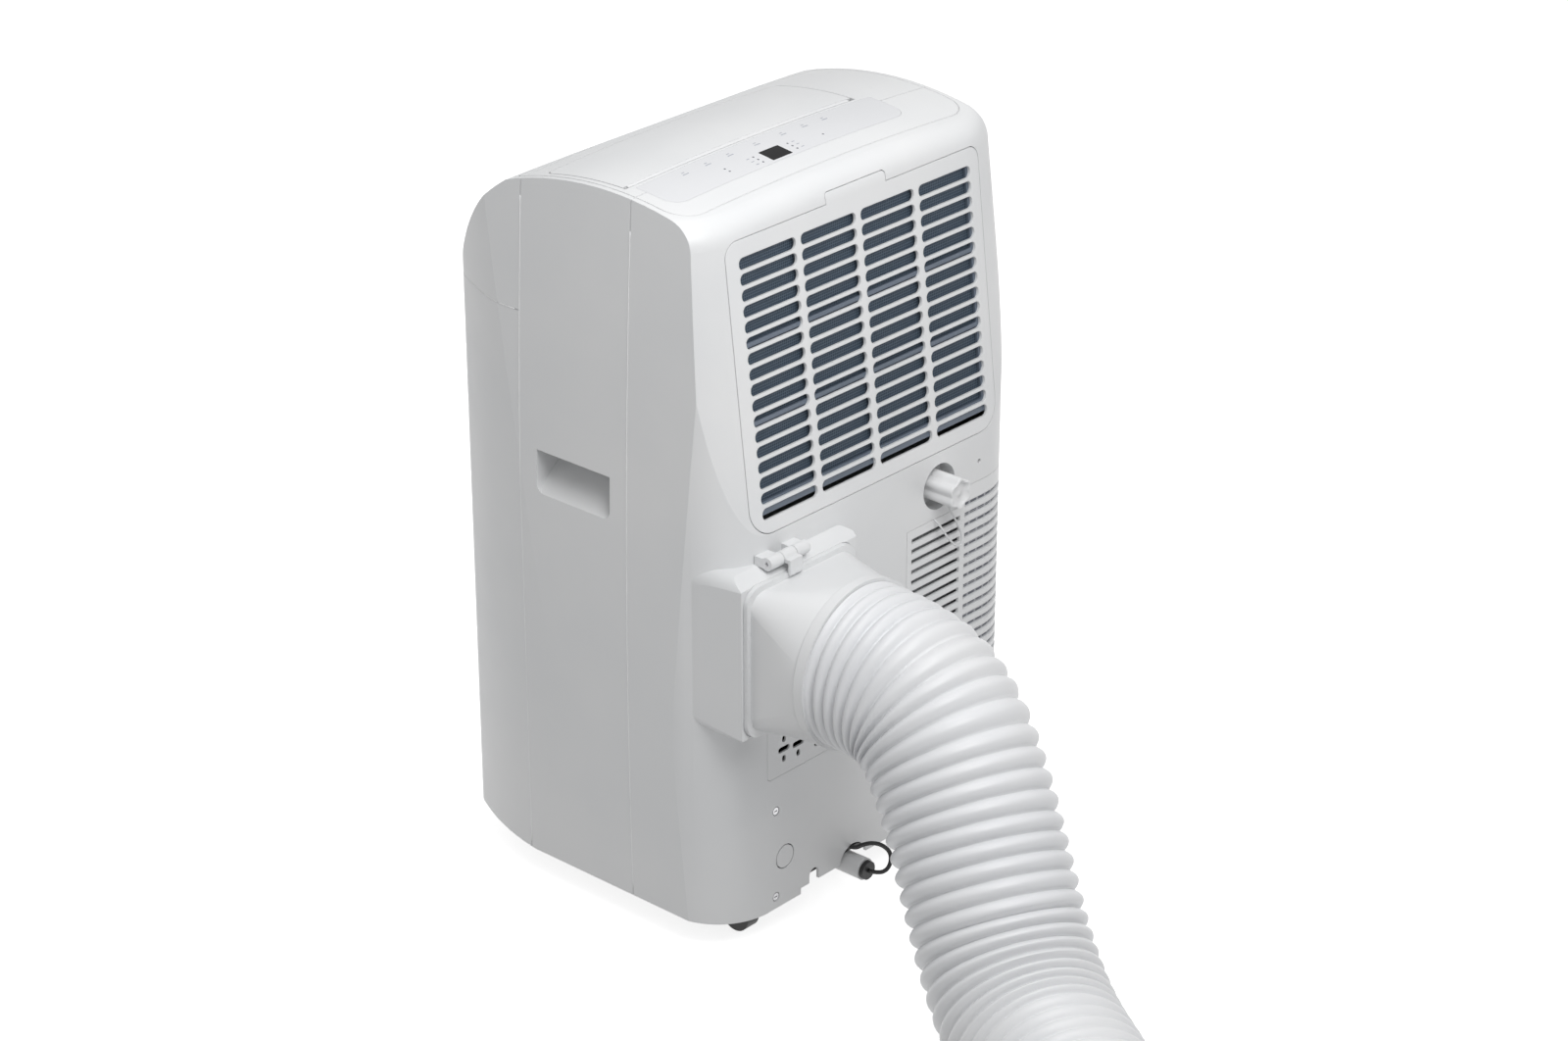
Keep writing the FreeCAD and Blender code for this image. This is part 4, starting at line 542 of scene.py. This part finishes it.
# %% [markdown]
# ## Meshes and fins
# The filter is a dark woven net, and the lower guard a paler one: both are a weave of two sets
# of fine waves, one along each way of the net. The coils are stacks of thin fins, drawn as
# close bands across the block.

# %% Woven nets and fins


def bands(t, axis, per_metre, low, high):
    """Bands across one axis, as a 0 to 1 value."""
    split = t.nodes.new("ShaderNodeSeparateXYZ")
    t.join(t.coords, split.inputs["Vector"])
    multiply = t.nodes.new("ShaderNodeMath")
    multiply.operation = "MULTIPLY"
    multiply.inputs[1].default_value = per_metre * 2 * math.pi
    t.join(split.outputs[axis], multiply.inputs[0])
    wave = t.nodes.new("ShaderNodeMath")
    wave.operation = "SINE"
    t.join(multiply.outputs[0], wave.inputs[0])
    node = t.nodes.new("ShaderNodeMapRange")
    node.inputs["From Min"].default_value = low
    node.inputs["From Max"].default_value = high
    t.join(wave.outputs[0], node.inputs["Value"])
    return node.outputs["Result"]


def net(name, hole, thread, per_metre_x, per_metre_z):
    t = Tree(name)
    most = t.nodes.new("ShaderNodeMath")
    most.operation = "MAXIMUM"
    t.join(bands(t, "X", per_metre_x, 0.55, 0.95), most.inputs[0])
    t.join(bands(t, "Z", per_metre_z, 0.55, 0.95), most.inputs[1])
    t.join(t.ramp(most.outputs[0], hole, thread, 0.0, 1.0), t.shader.inputs["Base Color"])
    t.join(t.spread(t.noise(200.0), 0.5, 0.75), t.shader.inputs["Roughness"])
    t.join(t.bump(most.outputs[0], 0.6, 0.2 * MM), t.shader.inputs["Normal"])
    return t.material


filter_net = net("filter_net", (0.030, 0.050, 0.075), (0.10, 0.14, 0.19), 420.0, 420.0)
guard_net = net("guard_net", (0.20, 0.21, 0.24), (0.58, 0.59, 0.62), 90.0, 330.0)
coil_fins = net("coil_fins", (0.25, 0.26, 0.27), (0.62, 0.63, 0.65), 500.0, 40.0)

# %% [markdown]
# ## Who wears what
# Each node of the frame gets its finish by name. Whatever isn't listed is cabinet plastic.

# %% Dress the frame
finishes = {
    "control_film": film_white, "display_window": display_black, "control_board": board_green,
    "upper_grille": grille_white, "lower_grille": grille_white,
    "filter_frame": frame_blue_grey, "filter_mesh": filter_net, "lower_mesh": guard_net,
    "drain_neck": rubber_black, "drain_cap_washer": rubber_black, "drain_plug": rubber_black,
    "evaporator_coil": coil_fins, "condenser_coil": coil_fins, "refrigerant_pipes": copper,
    "compressor": enamel_black, "electrical_box": steel, "fan_motors": steel, "base_pan": caster_black,
    "flap_pins": steel, "latch_pin": steel, "shell_screws": steel, "vane_motor": inner_grey,
    "air_duct": inner_grey, "upper_fan_housing": inner_grey, "lower_fan_housing": inner_grey,
    "upper_blower": inner_grey, "lower_blower": inner_grey, "drip_tray": inner_grey,
}
for name, node in nodes.items():
    wear = finishes.get(name)
    if wear is None and name.startswith("vane_"):
        wear = inner_grey
    if wear is None and name.startswith("caster_"):
        wear = caster_black
    wear = wear or cabinet_white
    if not node.material_slots:
        node.data.materials.append(wear)
    for slot in node.material_slots:
        slot.material = wear
# the seam beads wear the whiter painted-highlight finish
for piece, wear in ((duct, duct_white), (tether, tether_clear), (strap, rubber_black), (cap, cabinet_white),
                    (lamps, lamp_grey), (signs, sign_grey), *[(bead, seam_highlight_white) for bead in highlight_beads]):
    piece.data.materials.append(wear)
print("finishes:", len(bpy.data.materials))

# %% [markdown]
# ## Floor and light
# One large softbox hangs close above the duct and a second one above the top, so the top is
# brightest and every upright face dims towards the floor. The floor glows a little, to stay
# white, but throws no light upwards.

# %% Floor, sky and lamps
floor_mesh = bpy.data.meshes.new("floor")
REACH = 12.0
floor_corners = [(-REACH, -REACH, 0), (REACH, -REACH, 0), (REACH, REACH, 0), (-REACH, REACH, 0)]
floor_mesh.from_pydata(floor_corners, [], [(0, 1, 2, 3)])
floor = add_object("floor", floor_mesh)
floor_tree = Tree("floor_white")
floor_shade = floor_tree.ramp(floor_tree.noise(0.7), (0.90, 0.90, 0.90), (0.92, 0.92, 0.92))
floor_tree.join(floor_shade, floor_tree.shader.inputs["Base Color"])
floor_tree.shader.inputs["Roughness"].default_value = 0.9
floor_tree.shader.inputs["Emission Color"].default_value = (1, 1, 1, 1)
floor_tree.shader.inputs["Emission Strength"].default_value = 0.8
floor.visible_diffuse = False
floor_mesh.materials.append(floor_tree.material)

world = bpy.data.worlds.new("studio")
bpy.context.scene.world = world
world.use_nodes = True
world.node_tree.nodes["Background"].inputs["Color"].default_value = (1, 1, 1, 1)
world.node_tree.nodes["Background"].inputs["Strength"].default_value = 0.39


def softbox(name, place, target, size, power):
    lamp = bpy.data.lights.new(name, "AREA")
    lamp.energy = power
    lamp.size = size
    piece = add_object(name, lamp)
    piece.location = place
    piece.rotation_euler = (Vector(target) - Vector(place)).to_track_quat("-Z", "Y").to_euler()


softbox("rear_softbox", (0.45, 0.94, 1.67), (0.0, 0.05, 0.4), 0.9, 14.3)
softbox("top_softbox", (-0.1, -0.25, 2.4), (0.0, -0.05, 0.6), 1.0, 8.6)
bpy.context.scene.view_settings.view_transform = "Standard"
